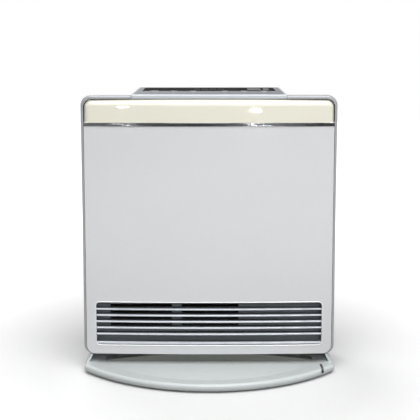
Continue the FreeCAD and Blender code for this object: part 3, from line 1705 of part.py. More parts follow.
def make_valve():
    """Gas valve block with a governor, two coils and their plungers, and the feed pipe."""
    block = rounded_rod_block("valve_block", (valve_left, valve_right),
                              (burner_y - valve_half, burner_y + valve_half),
                              (valve_low, valve_high), half(s.governor_length), "z")
    governor = rod("gas_governor", "y",
                   (half(valve_left + valve_right),
                    burner_y - valve_half - s.governor_length, half(valve_low + valve_high)),
                   s.governor_radius, s.governor_length)
    finish("gas_valve_block", join("gas_valve_block", block, governor))
    coils = []
    bore_depth = s.plunger_length + s.plunger_travel + s.seat_gap * 2
    for name, across in zip(("safety", "main"), coil_places()):
        can = rod(name + "_can", "z", (across, burner_y, valve_high), s.coil_radius,
                  bore_depth + s.coil_cap)
        bore = rod(name + "_bore", "z", (across, burner_y, valve_high - s.overrun),
                   s.plunger_radius + s.plunger_slack, bore_depth + s.overrun)
        coils.append(cut(name + "_valve_coil", can, bore))
        finish(name + "_valve_plunger", rod(name + "_valve_plunger", "z",
                                            (across, burner_y, valve_high + s.seat_gap),
                                            s.plunger_radius, s.plunger_length))
    finish("valve_coils", group("valve_coils", *coils))
    make_gas_pipe()


def make_gas_pipe():
    """Bent tube from the hose end up to the valve block."""
    start = (back_y - s.plug_nut_depth, plug_level)
    corners = [start, (pipe_y, plug_level), (pipe_y, valve_low)]
    body = bent_tube("gas_pipe", ("YZ_Plane", plug_place), corners, s.pipe_bend,
                     ("XZ_Plane", start[0], (plug_place, plug_level)), s.pipe_radius)
    finish("gas_pipe", body)


def step_towards(start, stop, length):
    """The point a length along an upright or level run."""
    spot = []
    for near, far in zip(start, stop):
        if abs(far.value - near.value) < TOUCH:
            spot.append(near)
        elif far.value > near.value:
            spot.append(near + length)
        else:
            spot.append(near - length)
    return tuple(spot)


def bent_tube(name, path_plane, corners, bend, section_plane, radius):
    """A round tube along level and upright runs that quarter arcs join.

    path_plane is the plane of the route and its level. section_plane is the plane square to the
    first run, its level and the middle of the tube there.
    """
    body = new_body(name + "_body")
    path = attach(body, name + "_path", path_plane[0], path_plane[1])
    runs = []
    start = corners[0]
    for number in range(1, len(corners)):
        corner = corners[number]
        is_last = number == len(corners) - 1
        stop = corner if is_last else step_towards(corner, start, bend)
        line = Part.LineSegment(flat_vector(start), flat_vector(stop))
        runs.append((path.addGeometry(line, False), start, stop, None))
        if not is_last:
            leave = step_towards(corner, corners[number + 1], bend)
            hub = across_from(corner, stop, leave)
            runs.append((add_quarter(path, stop, leave, hub), stop, leave, bend))
            start = leave
    for index, first, last, arc_radius in runs:
        if arc_radius is None:
            bind_point(path, index, 1, first)
            bind_point(path, index, 2, last)
        else:
            rule = path.addConstraint(Sketcher.Constraint("Radius", index, arc_radius.value))
            path.setExpression("Constraints[" + str(rule) + "]", arc_radius.text)
    for number in range(1, len(runs), 2):
        arc, first, _, _ = runs[number]
        forward = (path.getPoint(arc, 1) - flat_vector(first)).Length < TOUCH
        ends = (1, 2) if forward else (2, 1)
        before = Sketcher.Constraint("Coincident", runs[number - 1][0], 2, arc, ends[0])
        after = Sketcher.Constraint("Coincident", arc, ends[1], runs[number + 1][0], 1)
        path.addConstraint([before, after])
    role, level, centre = section_plane
    section = attach(body, name + "_section", role, level)
    ring = Part.Circle(flat_vector(centre), FreeCAD.Vector(0, 0, 1), radius.value)
    index = section.addGeometry(ring, False)
    bind_point(section, index, 3, centre)
    rule = section.addConstraint(Sketcher.Constraint("Radius", index, radius.value))
    section.setExpression("Constraints[" + str(rule) + "]", radius.text)
    doc.recompute()
    pipe = body.newObject("PartDesign::AdditivePipe", name + "_sweep")
    pipe.Profile = section
    pipe.Spine = (path, ["Edge" + str(number + 1) for number in range(len(runs))])
    return body


def across_from(corner, stop, leave):
    """Middle of a quarter arc: the fourth point of the square on a corner and the arc's ends."""
    return (leave[0] + stop[0] - corner[0], leave[1] + stop[1] - corner[1])


def add_quarter(path, start, stop, hub):
    """Add the quarter circle about a hub from start to stop."""
    centre = flat_vector(hub)
    radius = (flat_vector(start) - centre).Length
    chord_middle = (flat_vector(start) + flat_vector(stop)) * 0.5
    outward = (chord_middle - centre).normalize()
    arc = Part.Arc(flat_vector(start), centre + outward * radius, flat_vector(stop))
    return path.addGeometry(arc, False)


def attach(body, name, role, level):
    """A sketch on one of a body's own planes, moved to a level."""
    sketch = body.newObject("Sketcher::SketchObject", name)
    plane = [item for item in body.Origin.OriginFeatures if item.Role == role][0]
    sketch.AttachmentSupport = (plane, [""])
    sketch.MapMode = "FlatFace"
    lift = -level if role == "XZ_Plane" else level
    sketch.setExpression("AttachmentOffset.Base.z", lift.text)
    return sketch


def flat_vector(spot):
    """A point of a sketch from two sizes."""
    return FreeCAD.Vector(spot[0].value, spot[1].value, 0)


def make_electrics():
    """Spark box, control board in its case, transformer and tilt switch."""
    finish("spark_transformer", rounded_rod_block(
        "spark_transformer", (wall_right, wall_right + s.spark_box_depth),
        (at_depth(s.spark_box_front), at_depth(s.spark_box_back)),
        (shelf_high + s.spark_box_low, shelf_high + s.spark_box_high), s.spark_box_round, "x"))
    make_board()
    make_transformer()
    finish("tilt_switch", box("tilt_switch", (tilt_right - s.tilt_side, tilt_right),
                              (at_depth(tilt_front), at_depth(tilt_front) + s.tilt_side),
                              (shelf_high, shelf_high + s.tilt_height)))


def make_board():
    """Shallow plastic case on the side wall with the control board and what it carries."""
    x = (wall_right, wall_right + s.tray_case_depth)
    y = (at_depth(s.tray_case_front), at_depth(tray_case_back) - s.lug_depth)
    high = case_high - s.tray_case_drop
    z = (high - s.tray_case_tall, high)
    wall = s.tray_case_wall
    room = box("board_case_room", (x[0] + wall, x[1] + s.overrun), (y[0] + wall, y[1] - wall),
               (z[0] + wall, z[1] - wall))
    finish("board_case", cut("board_case", box("board_case_block", x, y, z), room))
    margin = wall + s.seat_gap
    pieces = [box("board_sheet", (x[1] - s.board_sheet, x[1]), (y[0] + margin, y[1] - margin),
                  (z[0] + margin, z[1] - margin))]
    face = x[1]
    centre_y = half(y[0] + y[1])
    centre_z = half(z[0] + z[1])
    for step in (-1, 0, 1):
        middle = centre_z + s.relay_side * step * 2
        pieces.append(box("board_relay", (face, face + s.relay_height),
                          (centre_y - s.relay_side, centre_y),
                          (middle - half(s.relay_side), middle + half(s.relay_side))))
    pieces.append(rod("board_capacitor", "x", (face, centre_y + s.relay_side, centre_z),
                      s.capacitor_radius, s.capacitor_height))
    socket_place = half(s.tray_case_tall) - s.socket_inset
    for side in (-1, 1):
        middle = centre_z + socket_place * side
        pieces.append(box("board_socket", (face, face + s.socket_side),
                          (centre_y + s.socket_side, centre_y + s.socket_side * 2),
                          (middle - half(s.socket_length), middle + half(s.socket_length))))
    finish("control_board", group("control_board", *pieces))
    socket_middle = face + half(s.socket_side)
    lead_y = centre_y + s.socket_side * 3 / 2
    upper = centre_z + socket_place + half(s.socket_length)
    lower = centre_z - socket_place - half(s.socket_length)
    make_leads(socket_middle, lead_y, upper, lower)


def make_leads(across, y, upper, lower):
    """Leads from the control board's sockets to the display board and to a valve coil."""
    level = case_high - s.wall_headroom + s.lead_clear
    under_board = s.tub_half - s.tub_wall - s.lead_inset
    up = bent_tube("display_lead", ("XZ_Plane", y),
                   [(across, upper), (across, level), (under_board, level),
                    (under_board, board_low)],
                   s.lead_bend, ("XY_Plane", upper, (across, y)), s.lead_radius)
    coil = coil_places()[0]
    coil_high = valve_high + s.plunger_length + s.plunger_travel + s.seat_gap * 2 + s.coil_cap
    turn_level = coil_high + s.lead_bend * 2
    down = bent_tube("coil_lead", ("XZ_Plane", y),
                     [(across, lower), (across, turn_level), (coil, turn_level),
                      (coil, coil_high)],
                     s.lead_bend, ("XY_Plane", lower, (across, y)), s.lead_radius)
    finish("wire_harness", group("wire_harness", up, down))


def make_transformer():
    """Iron core with a taped winding round its middle."""
    x = (transformer_left, transformer_right)
    y = (at_depth(s.transformer_front), at_depth(s.transformer_back))
    z = (inner_low, inner_low + s.transformer_height)
    over = s.winding_over
    gap_x = (x[0] + over * 2, x[1] - over * 2)
    gap_z = (z[0] + over * 2, z[1] - over * 2)
    core = cut("transformer_core_frame", box("transformer_core_block", x, (y[0] + over, y[1] - over),
                                             z),
               box("transformer_gap", gap_x, y, gap_z))
    winding = rounded_rod_block("transformer_winding", gap_x, y, gap_z, half(over), "y")
    finish("mains_transformer", group("mains_transformer", core, winding))


def build():
    """Make every piece of the heater."""
    make_outer_case()
    make_front_panel()
    make_top_cap()
    make_chrome_strip()
    make_outlet()
    make_control_housing()
    make_control_film()
    make_display()
    make_buttons()
    make_base_tray()
    make_base_neck()
    make_feet_and_screws()
    make_rear_cover()
    make_filter_rails()
    make_filter("left", -1)
    make_filter("right", 1)
    make_gas_plug()
    make_cord_gland()
    make_room_thermistor()
    make_shelf()
    make_fan_duct()
    make_fan()
    make_bush_and_motor()
    make_chamber()
    make_burner()
    make_manifold()
    make_heat_shield()
    make_probes()
    make_side_wall()
    make_valve()
    make_electrics()
    doc.recompute()


def check():
    """Stop if any object failed or any piece has no sound solid."""
    for item in doc.Objects:
        if "Invalid" in item.State or "Error" in item.State:
            raise RuntimeError("failed object: " + item.Name + " " + item.Label)
    for item in nodes:
        shape = item.Shape
        if shape.isNull() or not shape.isValid() or not shape.Solids:
            raise RuntimeError("no sound solid: " + item.Label)


def write():
    """Write each piece to a file of its own name."""
    os.makedirs("parts", exist_ok=True)
    for item in nodes:
        item.Shape.exportStep(os.path.join("parts", item.Label + ".step"))
        print(item.Label, len(item.Shape.Solids), round(item.Shape.Volume))


build()
check()
write()
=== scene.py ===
import json
import math

import bpy
from bpy.props import FloatProperty, FloatVectorProperty, PointerProperty
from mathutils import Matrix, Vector


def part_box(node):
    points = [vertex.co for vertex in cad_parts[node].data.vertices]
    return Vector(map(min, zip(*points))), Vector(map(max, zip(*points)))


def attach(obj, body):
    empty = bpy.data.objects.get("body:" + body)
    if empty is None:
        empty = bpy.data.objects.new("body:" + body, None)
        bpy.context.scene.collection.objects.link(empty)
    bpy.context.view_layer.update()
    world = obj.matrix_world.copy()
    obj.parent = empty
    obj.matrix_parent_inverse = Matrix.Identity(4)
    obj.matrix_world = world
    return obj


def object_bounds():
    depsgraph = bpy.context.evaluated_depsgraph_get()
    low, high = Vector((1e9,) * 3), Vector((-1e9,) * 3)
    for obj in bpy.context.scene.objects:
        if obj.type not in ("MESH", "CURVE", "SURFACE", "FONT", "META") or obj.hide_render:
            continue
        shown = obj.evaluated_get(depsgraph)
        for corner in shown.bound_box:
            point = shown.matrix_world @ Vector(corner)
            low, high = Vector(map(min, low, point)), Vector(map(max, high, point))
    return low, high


bl_info = {
    "name": "Gas fan heater",
    "version": (1, 0, 0),
    "blender": (4, 5, 0),
    "location": "3D View > Sidebar > Heater",
    "description": "Finishes, small parts and studio of a gas fan heater",
    "category": "Object",
}

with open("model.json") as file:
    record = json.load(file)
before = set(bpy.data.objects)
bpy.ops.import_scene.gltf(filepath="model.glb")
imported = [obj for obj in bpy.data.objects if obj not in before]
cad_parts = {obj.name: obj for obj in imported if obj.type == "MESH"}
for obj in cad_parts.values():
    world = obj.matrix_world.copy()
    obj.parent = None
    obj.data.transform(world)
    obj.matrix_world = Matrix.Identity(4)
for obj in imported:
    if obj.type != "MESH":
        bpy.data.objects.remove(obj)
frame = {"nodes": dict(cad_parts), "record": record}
CAD_BOX = [list(corner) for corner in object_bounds()]
SLOT_OF = {part["node"]: part["material_slot"] for part in frame["record"]["subparts"]}
RIM_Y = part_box("outer_case")[0].y

# Side of the photograph in pixels, and width of the camera's sensor in millimetres
IMAGE_SIDE = 420
SENSOR = 36

# Distance and size of the small lamps whose reflections are the highlights on the cap
GLINT_AWAY = 1.6
GLINT_SIZE = (0.05, 0.008)

# Soft lamps: name, place, width and height
LAMPS = (("top", (0.1, -1.0, 1.9), (1.8, 1.8)), ("front", (0.35, -2.4, 0.95), (1.3, 0.8)),
         ("side", (1.7, -0.9, 1.0), (0.7, 1.2)), ("back", (-0.8, 1.6, 1.7), (1.2, 1.0)))

# Cards that glossy faces reflect: name, width and height, place, dimmest and brightest band
CARDS = (("front", (4.0, 1.5), (0, -2.6, 0.75), (0.03, 0.22)),
         ("back", (5.0, 1.6), (0, 2.4, 0.7), (0.06, 0.16)))

# Tints that dust, soot and heat leave
DUST = (0.50, 0.48, 0.44)
LINT = (0.2, 0.19, 0.18)
BAKED_DUST = (0.16, 0.15, 0.14)
FLUFF = (0.22, 0.21, 0.20)
SOOT = (0.05, 0.045, 0.04)
STRAW_TINT = (0.46, 0.33, 0.17)
BLUE_TINT = (0.16, 0.18, 0.30)

# Degrees between two faces up to which their edge is shaded smooth
SMOOTH = 35
SMOOTH_BEAD = 80

# Points nearer than this, in metres, count as lying in one plane
NEAR = 0.0001

# How far from its middle the outlet's edges are looked for, sideways, up and at a corner
OUTLET_SEARCH = (0.19, 0.05)
CORNER_SEARCH = 0.01

# How often the search for an opening's edge halves its span
HALVINGS = 16

# Digits of the display: their places in pitches, with room for the colon
DIGIT_STEPS = (-1.6, -0.6, 0.6, 1.6)

# Printed fields of the window: name, place as a share of its length, width
FIELDS = (("wide", 0.84, 0.021), ("narrow", 0.93, 0.009))
FIELD_DEPTH_SHARE = 0.7

# Distances in metres over which a slat's paint goes over into its painted shade, and one tint of
# the film into the next
SLAT_FADE = 0.002
BORDER_FADE = 0.001

# Distances in metres from the probes' inner end at which the soot starts and is full
SOOT_ENDS = (0.03, 0.012)

# Height in metres of the flame above the burner
FLAME_ABOVE = 0.03

# How far in metres the zinc's patches are bent and the heat's tints wave
ZINC_BEND = 0.004
TINT_WAVE = 0.06

# Distances in metres from the middle at which the floor starts to glow and is white
FLOOR_GLOW = (0.25, 1.2)

# A height in metres above the whole heater, from which rays go down
ABOVE = 1.0

# Rounding of a signal lamp as a share of how far it stands out
LAMP_ROUND_SHARE = 0.8

# Strokes of a digit: thickness as a share of a line, half lengths as shares of width and height
STROKE_SHARE = 1.6
LEVEL_STROKE_SHARE = 0.42
UPRIGHT_STROKE_SHARE = 0.2

# How far outside the opening's edge the bead runs, as a share of its radius
BEAD_OUT_SHARE = 1.2

# Slit lining: rounding of its front as a share of its height
SLIT_ROUND_SHARE = 0.4

# A screw's crown: rounded height as a share of it, cross recess as shares of the radius
CROWN_ROUND_SHARE = 0.9
RECESS_REACH_SHARE = 1.1
RECESS_WIDTH_SHARE = 0.26


# Sizes and colours that a user would change


def colour(name, shade, description):
    """A colour setting in linear light."""
    return FloatVectorProperty(name=name, description=description, subtype="COLOR", size=3,
                               min=0, max=1, default=shade)


def pixel(name, place, description):
    """A setting that holds a pixel of the photograph."""
    return FloatVectorProperty(name=name, description=description, size=2, default=place)


def number(name, value, description, **kind):
    """A setting that is one number, with its unit or subtype where it has one."""
    return FloatProperty(name=name, description=description, default=value, **kind)


def length(name, metres, description):
    """A length setting."""
    return number(name, metres, description, unit="LENGTH")


def power(name, watts, description):
    """A setting of a lamp's power."""
    return number(name, watts, description, unit="POWER")


class HeaterColours(bpy.types.PropertyGroup):
    """Colours of the finishes."""

    case: colour("Case", (0.36, 0.37, 0.39), "Silver paint of the case and its rim")
    panel: colour("Front panel", (0.70, 0.705, 0.72), "Pale silver paint of the front")
    bead: colour("Bead", (0.9, 0.91, 0.92), "Bright lacquer on the bead round the outlet")
    cap: colour("Top cap", (0.87, 0.85, 0.72), "Cream moulding above the strip")
    strip: colour("Strip", (0.72, 0.73, 0.75), "Plated strip")
    slat: colour("Slats", (0.68, 0.72, 0.77), "Silver paint of the outlet's slats")
    outlet: colour("Outlet", (0.26, 0.29, 0.315), "Dark paint inside the outlet")
    housing: colour("Control housing", (0.55, 0.585, 0.62), "Silver moulding on top")
    film: colour("Control film", (0.22, 0.225, 0.24), "Grey printed film")
    ink: colour("Ink", (0.33, 0.34, 0.355), "Printed marks in front of the keys")
    window: colour("Display window", (0.012, 0.013, 0.014), "Smoked display window")
    digits: colour("Digits", (0.055, 0.057, 0.06), "Unlit segments of the display")
    fields: colour("Fields", (0.09, 0.093, 0.098), "Bare printed fields on the window")
    keys: colour("Keys", (0.40, 0.42, 0.44), "Grey keys")
    foot: colour("Foot", (0.66, 0.705, 0.70), "Pale grey-green moulding of the foot")
    # Painted shade: the neck's dark colour stands for the shadow under the case
    neck: colour("Neck", (0.20, 0.21, 0.19), "Darker moulding that carries the case")
    cover: colour("Back cover", (0.44, 0.46, 0.48), "Grey paint of the back")
    rails: colour("Filter rails", (0.24, 0.25, 0.26), "Grey moulding that holds the filters")
    net: colour("Filter net", (0.035, 0.036, 0.04), "Threads of the filter net")
    brass: colour("Brass", (0.66, 0.47, 0.20), "Turned brass of the gas parts")
    zinc: colour("Zinc", (0.52, 0.54, 0.56), "Zinc coated sheet")
    steel: colour("Steel", (0.47, 0.46, 0.45), "Bare stainless steel")
    core: colour("Core", (0.20, 0.18, 0.16), "Varnished iron of the mains transformer")
    ceramic: colour("Ceramic", (0.78, 0.76, 0.72), "Ceramic of the burner's probes")
    black: colour("Black parts", (0.022, 0.022, 0.024), "Black mouldings, rubber and paint")
    leads: colour("Leads", (0.30, 0.30, 0.32), "Insulation of the leads")
    board: colour("Circuit boards", (0.03, 0.12, 0.06), "Lacquer of the circuit boards")


class HeaterSizes(bpy.types.PropertyGroup):
    """Sizes of the finishes' detail and of the small parts."""

    flake: length("Paint flake", 0.00035, "Width of a flake in the metallic paint")
    grain: length("Moulded grain", 0.0009, "Width of a grain on the moulded plastic")
    thread: length("Net pitch", 0.0016, "Distance between two threads of the filter net")
    soft_edge: length("Soft edge", 0.0005, "Radius that softens a folded or moulded edge")
    # Behind this depth a slat's plate carries painted shade
    nose: length("Slat nose", 0.0062, "How deep the bright paint on a slat's nose goes")
    border: length("Film border", 0.011, "Width of the paler border at the film's back")
    bead: length("Bead", 0.0008, "Radius of the bead round the outlet")
    lamp_width: length("Lamp width", 0.006, "Width of a signal lamp on the control film")
    lamp_depth: length("Lamp depth", 0.0022, "Depth of a signal lamp on the control film")
    lamp_proud: length("Lamp height", 0.0005, "How far a signal lamp stands out of the film")
    ink: length("Ink", 0.00012, "Thickness of a printed mark")
    mark: length("Mark", 0.0056, "Width of the printed mark in front of a key")
    line: length("Line", 0.0008, "Width of a printed line")
    digit_height: length("Digit height", 0.013, "Height of a digit of the display")
    digit_width: length("Digit width", 0.0075, "Width of a digit of the display")
    digit_pitch: length("Digit pitch", 0.0115, "Distance between two digits of the display")
    field_corner: length("Field corner", 0.0015, "Radius of a printed field's corners")
    slit_inset: length("Slit inset", 0.0204, "From the foot's right end to its cord slit")
    slit_width: length("Slit width", 0.003, "Width of the lining of the cord slit")
    slit_depth: length("Slit depth", 0.0095, "From the case's rim to the end of the cord slit")
    slit_height: length("Slit height", 0.0055, "Height of the lining of the cord slit")
    slit_sunk: length("Slit sunk", 0.0006, "How far the lining lies behind the foot's lip")
    crown: length("Screw crown", 0.0038, "Radius of the crown on a screw's head")
    crown_height: length("Crown height", 0.0009, "How far a screw's crown stands out")


class StudioSettings(bpy.types.PropertyGroup):
    """Camera, lamps and floor."""

    distance: length("Camera distance", 1.4, "From the case's rim to the camera")
    height: length("Camera height", 0.5104, "From the floor to the camera")
    tilt: number("Camera tilt", math.radians(6.72), "How far the camera looks down",
                 subtype="ANGLE")
    focal: number("Focal length", 79.37, "Focal length in millimetres")
    lift: number("Vertical shift", -0.14, "Camera shift, a share of the width")
    slide: number("Sideways shift", 0.0023, "Camera shift, a share of the width")
    top_power: power("Top lamp", 40, "Power of the big lamp overhead")
    front_power: power("Front lamp", 9, "Power of the lamp in front")
    side_power: power("Side lamp", 3, "Power of the lamp at the right")
    back_power: power("Back lamp", 14, "Power of the lamp behind")
    room: number("Room light", 0.16, "Strength of the light all round")
    glint_power: power("Glint lamps", 0.15, "Power of each small lamp")
    left_glint: pixel("Left glint", (122.6, 106.2), "Pixel of the highlight on the cap's left")
    right_glint: pixel("Right glint", (257.5, 110.5), "Pixel of the highlight on its right")
    floor_size: length("Floor size", 9, "Width of the floor")
    floor: colour("Floor", (0.9, 0.9, 0.9), "Colour of the floor as it shows")
    bounce: colour("Floor bounce", (0.33, 0.33, 0.33), "Colour of the light the floor throws up")


def colours():
    """The colour settings."""
    return bpy.context.scene.heater_colours


def sizes():
    """The size settings."""
    return bpy.context.scene.heater_sizes


# Shader node groups that several finishes share


class Wiring:
    """Adds nodes to a node tree and links them."""

    def __init__(self, tree):
        self.tree = tree

    def add(self, kind, settings=None, **inputs):
        """A node with its settings and its inputs, each a value or another node's socket."""
        node = self.tree.nodes.new("ShaderNode" + kind)
        for name, value in (settings or {}).items():
            setattr(node, name, value)
        for name, value in inputs.items():
            self.feed(node.inputs[name.replace("_", " ")], value)
        return node

    def feed(self, socket, value):
        """Link a socket, or set it."""
        if isinstance(value, bpy.types.NodeSocket):
            self.tree.links.new(value, socket)
        else:
            socket.default_value = value

    def reckon(self, kind, operation, *values):
        """A Math or Vector Math node, fed with values."""
        node = self.add(kind, {"operation": operation})
        for socket, value in zip(node.inputs, values):
            self.feed(socket, value)
        return node

    def sum_up(self, operation, *values):
        """A Math node's result."""
        return self.reckon("Math", operation, *values).outputs[0]

    def axis(self, vector, name):
        """One coordinate of a vector."""
        return self.add("SeparateXYZ", Vector=vector).outputs[name]

    def spread(self, value, low, high, to_low=0.0, to_high=1.0):
        """Turn the span from low to high into another span."""
        node = self.add("MapRange", {"clamp": True}, Value=value)
        for name, limit in (("From Min", low), ("From Max", high), ("To Min", to_low),
                            ("To Max", to_high)):
            node.inputs[name].default_value = limit
        return node.outputs["Result"]

    def noise(self, place, scale, detail=2.0, roughness=0.5):
        """A noise value at a place."""
        node = self.add("TexNoise", Vector=place, Scale=scale, Detail=detail,
                        Roughness=roughness)
        return node.outputs["Fac"]


VECTOR_SOCKETS = ("Place", "Stretch", "Normal")


def new_group(name, inputs, *outputs):
    """An empty shader group that reads a place and some inputs, and its wiring and ends."""
    tree = bpy.data.node_groups.new(name, "ShaderNodeTree")
    for side, labels in (("INPUT", ("Place", *inputs)), ("OUTPUT", outputs)):
        for label in labels:
            kind = "NodeSocketVector" if label in VECTOR_SOCKETS else "NodeSocketFloat"
            socket = tree.interface.new_socket(label, in_out=side, socket_type=kind)
            if label in inputs:
                socket.default_value = inputs[label]
    entry = tree.nodes.new("NodeGroupInput")
    leave = tree.nodes.new("NodeGroupOutput")
    return Wiring(tree), entry.outputs, leave.inputs


def make_paint_flake():
    """Metallic paint: each flake has a brightness of its own, under a slow cloudiness."""
    wiring, given, result = new_group("paint flake", {"Cells": 2000.0},
                                      "Glint", "Cloud", "Height")
    cells = wiring.add("TexVoronoi", Vector=given["Place"], Scale=given["Cells"])
    split = wiring.add("SeparateColor", Color=cells.outputs["Color"])
    wiring.feed(result["Glint"], split.outputs[0])
    wiring.feed(result["Cloud"], wiring.noise(given["Place"], scale=9.0, detail=3.0))
    skin = wiring.sum_up("MULTIPLY", given["Cells"], 0.12)
    wiring.feed(result["Height"], wiring.noise(given["Place"], skin, detail=1.0))


def make_moulded_grain():
    """Moulded plastic: a fine leathery grain, with slow changes of shade."""
    wiring, given, result = new_group("moulded grain", {"Cells": 1000.0}, "Height", "Cloud")
    fine = wiring.noise(given["Place"], given["Cells"], detail=3.0, roughness=0.6)
    wiring.feed(result["Height"], fine)
    wiring.feed(result["Cloud"], wiring.noise(given["Place"], scale=7.0, detail=3.0))


def make_brushed_lines():
    """Brushed or turned metal: noise stretched by the lengths given for each axis."""
    wiring, given, result = new_group("brushed lines", {"Stretch": (1.0, 1.0, 1.0)},
                                      "Height", "Cloud")
    stretched = wiring.reckon("VectorMath", "MULTIPLY", given["Place"], given["Stretch"])
    lines = wiring.noise(stretched.outputs[0], scale=1.0, detail=3.0, roughness=0.6)
    wiring.feed(result["Height"], lines)
    wiring.feed(result["Cloud"], wiring.noise(given["Place"], scale=14.0, detail=3.0))


def make_zinc_spangle():
    """Zinc coating: crystal patches that differ a little in brightness."""
    wiring, given, result = new_group("zinc spangle", {"Cells": 120.0}, "Patch", "Height")
    wave = wiring.add("TexNoise", Vector=given["Place"], Scale=300.0)
    bent = wiring.reckon("VectorMath", "MULTIPLY_ADD", wave.outputs["Color"],
                         (ZINC_BEND, ZINC_BEND, ZINC_BEND), given["Place"])
    cells = wiring.add("TexVoronoi", Vector=bent.outputs[0], Scale=given["Cells"])
    split = wiring.add("SeparateColor", Color=cells.outputs["Color"])
    wiring.feed(result["Patch"], split.outputs[0])
    wiring.feed(result["Height"], cells.outputs["Distance"])


def make_settled_dust():
    """Dust that settles on faces that look up, in a broken film."""
    wiring, given, result = new_group("settled dust", {"Amount": 0.3}, "Mask")
    facing = wiring.axis(wiring.add("NewGeometry").outputs["Normal"], "Z")
    upward = wiring.spread(facing, 0.35, 1.0)
    broken = wiring.noise(given["Place"], scale=46.0, detail=5.0, roughness=0.65)
    settled = wiring.sum_up("MULTIPLY", upward, wiring.spread(broken, 0.35, 0.75))
    wiring.feed(result["Mask"], wiring.sum_up("MULTIPLY", settled, given["Amount"]))


def make_worn_edge():
    """Soft normal over sharp edges, and a mask of the edges that hands rub."""
    wiring, given, result = new_group("worn edge", {"Radius": 0.0006, "Wear": 0.5},
                                      "Mask", "Normal")
    soft = wiring.add("Bevel", {"samples": 6}, Radius=given["Radius"]).outputs["Normal"]
    true = wiring.add("NewGeometry").outputs["Normal"]
    match = wiring.reckon("VectorMath", "DOT_PRODUCT", soft, true)
    edge = wiring.spread(match.outputs["Value"], 0.98, 0.80)
    patches = wiring.noise(given["Place"], scale=160.0, detail=4.0, roughness=0.7)
    rubbed = wiring.sum_up("MULTIPLY", edge, wiring.spread(patches, 0.42, 0.62))
    wiring.feed(result["Mask"], wiring.sum_up("MULTIPLY", rubbed, given["Wear"]))
    wiring.feed(result["Normal"], soft)


def make_woven_net():
    """Woven net in the upright plane: a mask of the threads and their height."""
    wiring, given, result = new_group("woven net", {"Pitch": 0.0016}, "Thread", "Height")
    humps = []
    for name in ("X", "Z"):
        turns = wiring.sum_up("DIVIDE", wiring.axis(given["Place"], name), given["Pitch"])
        humps.append(wiring.spread(wiring.sum_up("PINGPONG", turns, 0.5), 0.17, 0.10))
    either = wiring.sum_up("MAXIMUM", *humps)
    wiring.feed(result["Thread"], either)
    wiring.feed(result["Height"], either)


def make_heat_tint():
    """Straw and blue tints that heat leaves on bare steel, strongest near the flame."""
    wiring, given, result = new_group("heat tint", {"Flame": 0.18, "Reach": 0.10},
                                      "Straw", "Blue")
    wave = wiring.noise(given["Place"], scale=18.0, detail=3.0)
    wavy = wiring.sum_up("MULTIPLY", wave, TINT_WAVE)
    above = wiring.sum_up("SUBTRACT", wiring.axis(given["Place"], "Z"), given["Flame"])
    away = wiring.sum_up("ADD", wiring.sum_up("ABSOLUTE", above), wavy)
    near = wiring.sum_up("DIVIDE", away, given["Reach"])
    wiring.feed(result["Straw"], wiring.spread(near, 1.1, 0.5))
    wiring.feed(result["Blue"], wiring.spread(near, 0.55, 0.2))


GROUP_MAKERS = (make_paint_flake, make_moulded_grain, make_brushed_lines, make_zinc_spangle,
                make_settled_dust, make_worn_edge, make_woven_net, make_heat_tint)


# Finishes


class Finish(Wiring):
    """One material under construction."""

    def __init__(self, name="finish", **sockets):
        self.material = bpy.data.materials.new(name)
        self.material.use_nodes = True
        super().__init__(self.material.node_tree)
        self.shader = self.tree.nodes["Principled BSDF"]
        self.place = self.add("TexCoord").outputs["Object"]
        self.colour = None
        for label, value in sockets.items():
            self.shader.inputs[label.replace("_", " ")].default_value = value

    def effect(self, name, **inputs):
        """A shared group's outputs at this finish's place."""
        node = self.add("Group", {"node_tree": bpy.data.node_groups[name]},
                        Place=self.place, **inputs)
        return node.outputs

    def shade(self, low, high, mask):
        """Base colour from one shade to another over a mask."""
        mix = self.add("Mix", {"data_type": "RGBA"})
        self.feed(mix.inputs["Factor"], mask)
        self.feed(mix.inputs["A"], self.colour if low is None else (*low, 1.0))
        self.feed(mix.inputs["B"], (*high, 1.0))
        self.colour = mix.outputs["Result"]
        self.feed(self.shader.inputs["Base Color"], self.colour)

    def mottle(self, tint, low, high, mask):
        """Base colour from a low to a high share of a tint over a mask."""
        self.shade(scaled(tint, low), scaled(tint, high), mask)

    def roughness(self, mask, low, high):
        """Roughness from low to high over a mask."""
        self.feed(self.shader.inputs["Roughness"], self.spread(mask, 0.0, 1.0, low, high))

    def relief(self, height, depth, strength=1.0, normal=None):
        """Bump of a height in metres."""
        bump = self.add("Bump", Height=height, Strength=strength, Distance=depth)
        if normal is not None:
            self.feed(bump.inputs["Normal"], normal)
        self.feed(self.shader.inputs["Normal"], bump.outputs["Normal"])

    def soften(self, radius, wear):
        """Edge mask and soft normal."""
        return self.effect("worn edge", Radius=radius, Wear=wear)

    def dusty(self, amount, tint=DUST):
        """Dust over the base colour, where there is any."""
        if amount:
            self.shade(None, tint, self.effect("settled dust", Amount=amount)["Mask"])

    def show(self, shader):
        """Send another shader's result to the surface."""
        self.feed(self.tree.nodes["Material Output"].inputs["Surface"], shader.outputs[0])


def scaled(tint, factor):
    """A colour made darker or lighter."""
    return tuple(min(1.0, part * factor) for part in tint)


def metallic_paint(tint, roughness, coat, dust=0.0):
    """Paint with fine flakes under a clear coat, rubbed a little at its edges."""
    finish = Finish(Metallic=0.15, Coat_Weight=coat, Coat_Roughness=0.12)
    flake = finish.effect("paint flake", Cells=1 / sizes().flake)
    finish.mottle(tint, 0.955, 1.045, flake["Glint"])
    finish.shade(None, scaled(tint, 0.94), finish.spread(flake["Cloud"], 0.35, 0.75, 0.0, 0.35))
    finish.roughness(flake["Glint"], roughness - 0.05, roughness + 0.05)
    edge = finish.soften(sizes().soft_edge, wear=0.25)
    finish.shade(None, scaled(tint, 1.12), edge["Mask"])
    finish.relief(flake["Height"], depth=0.00002, strength=0.35, normal=edge["Normal"])
    finish.dusty(dust)
    return finish


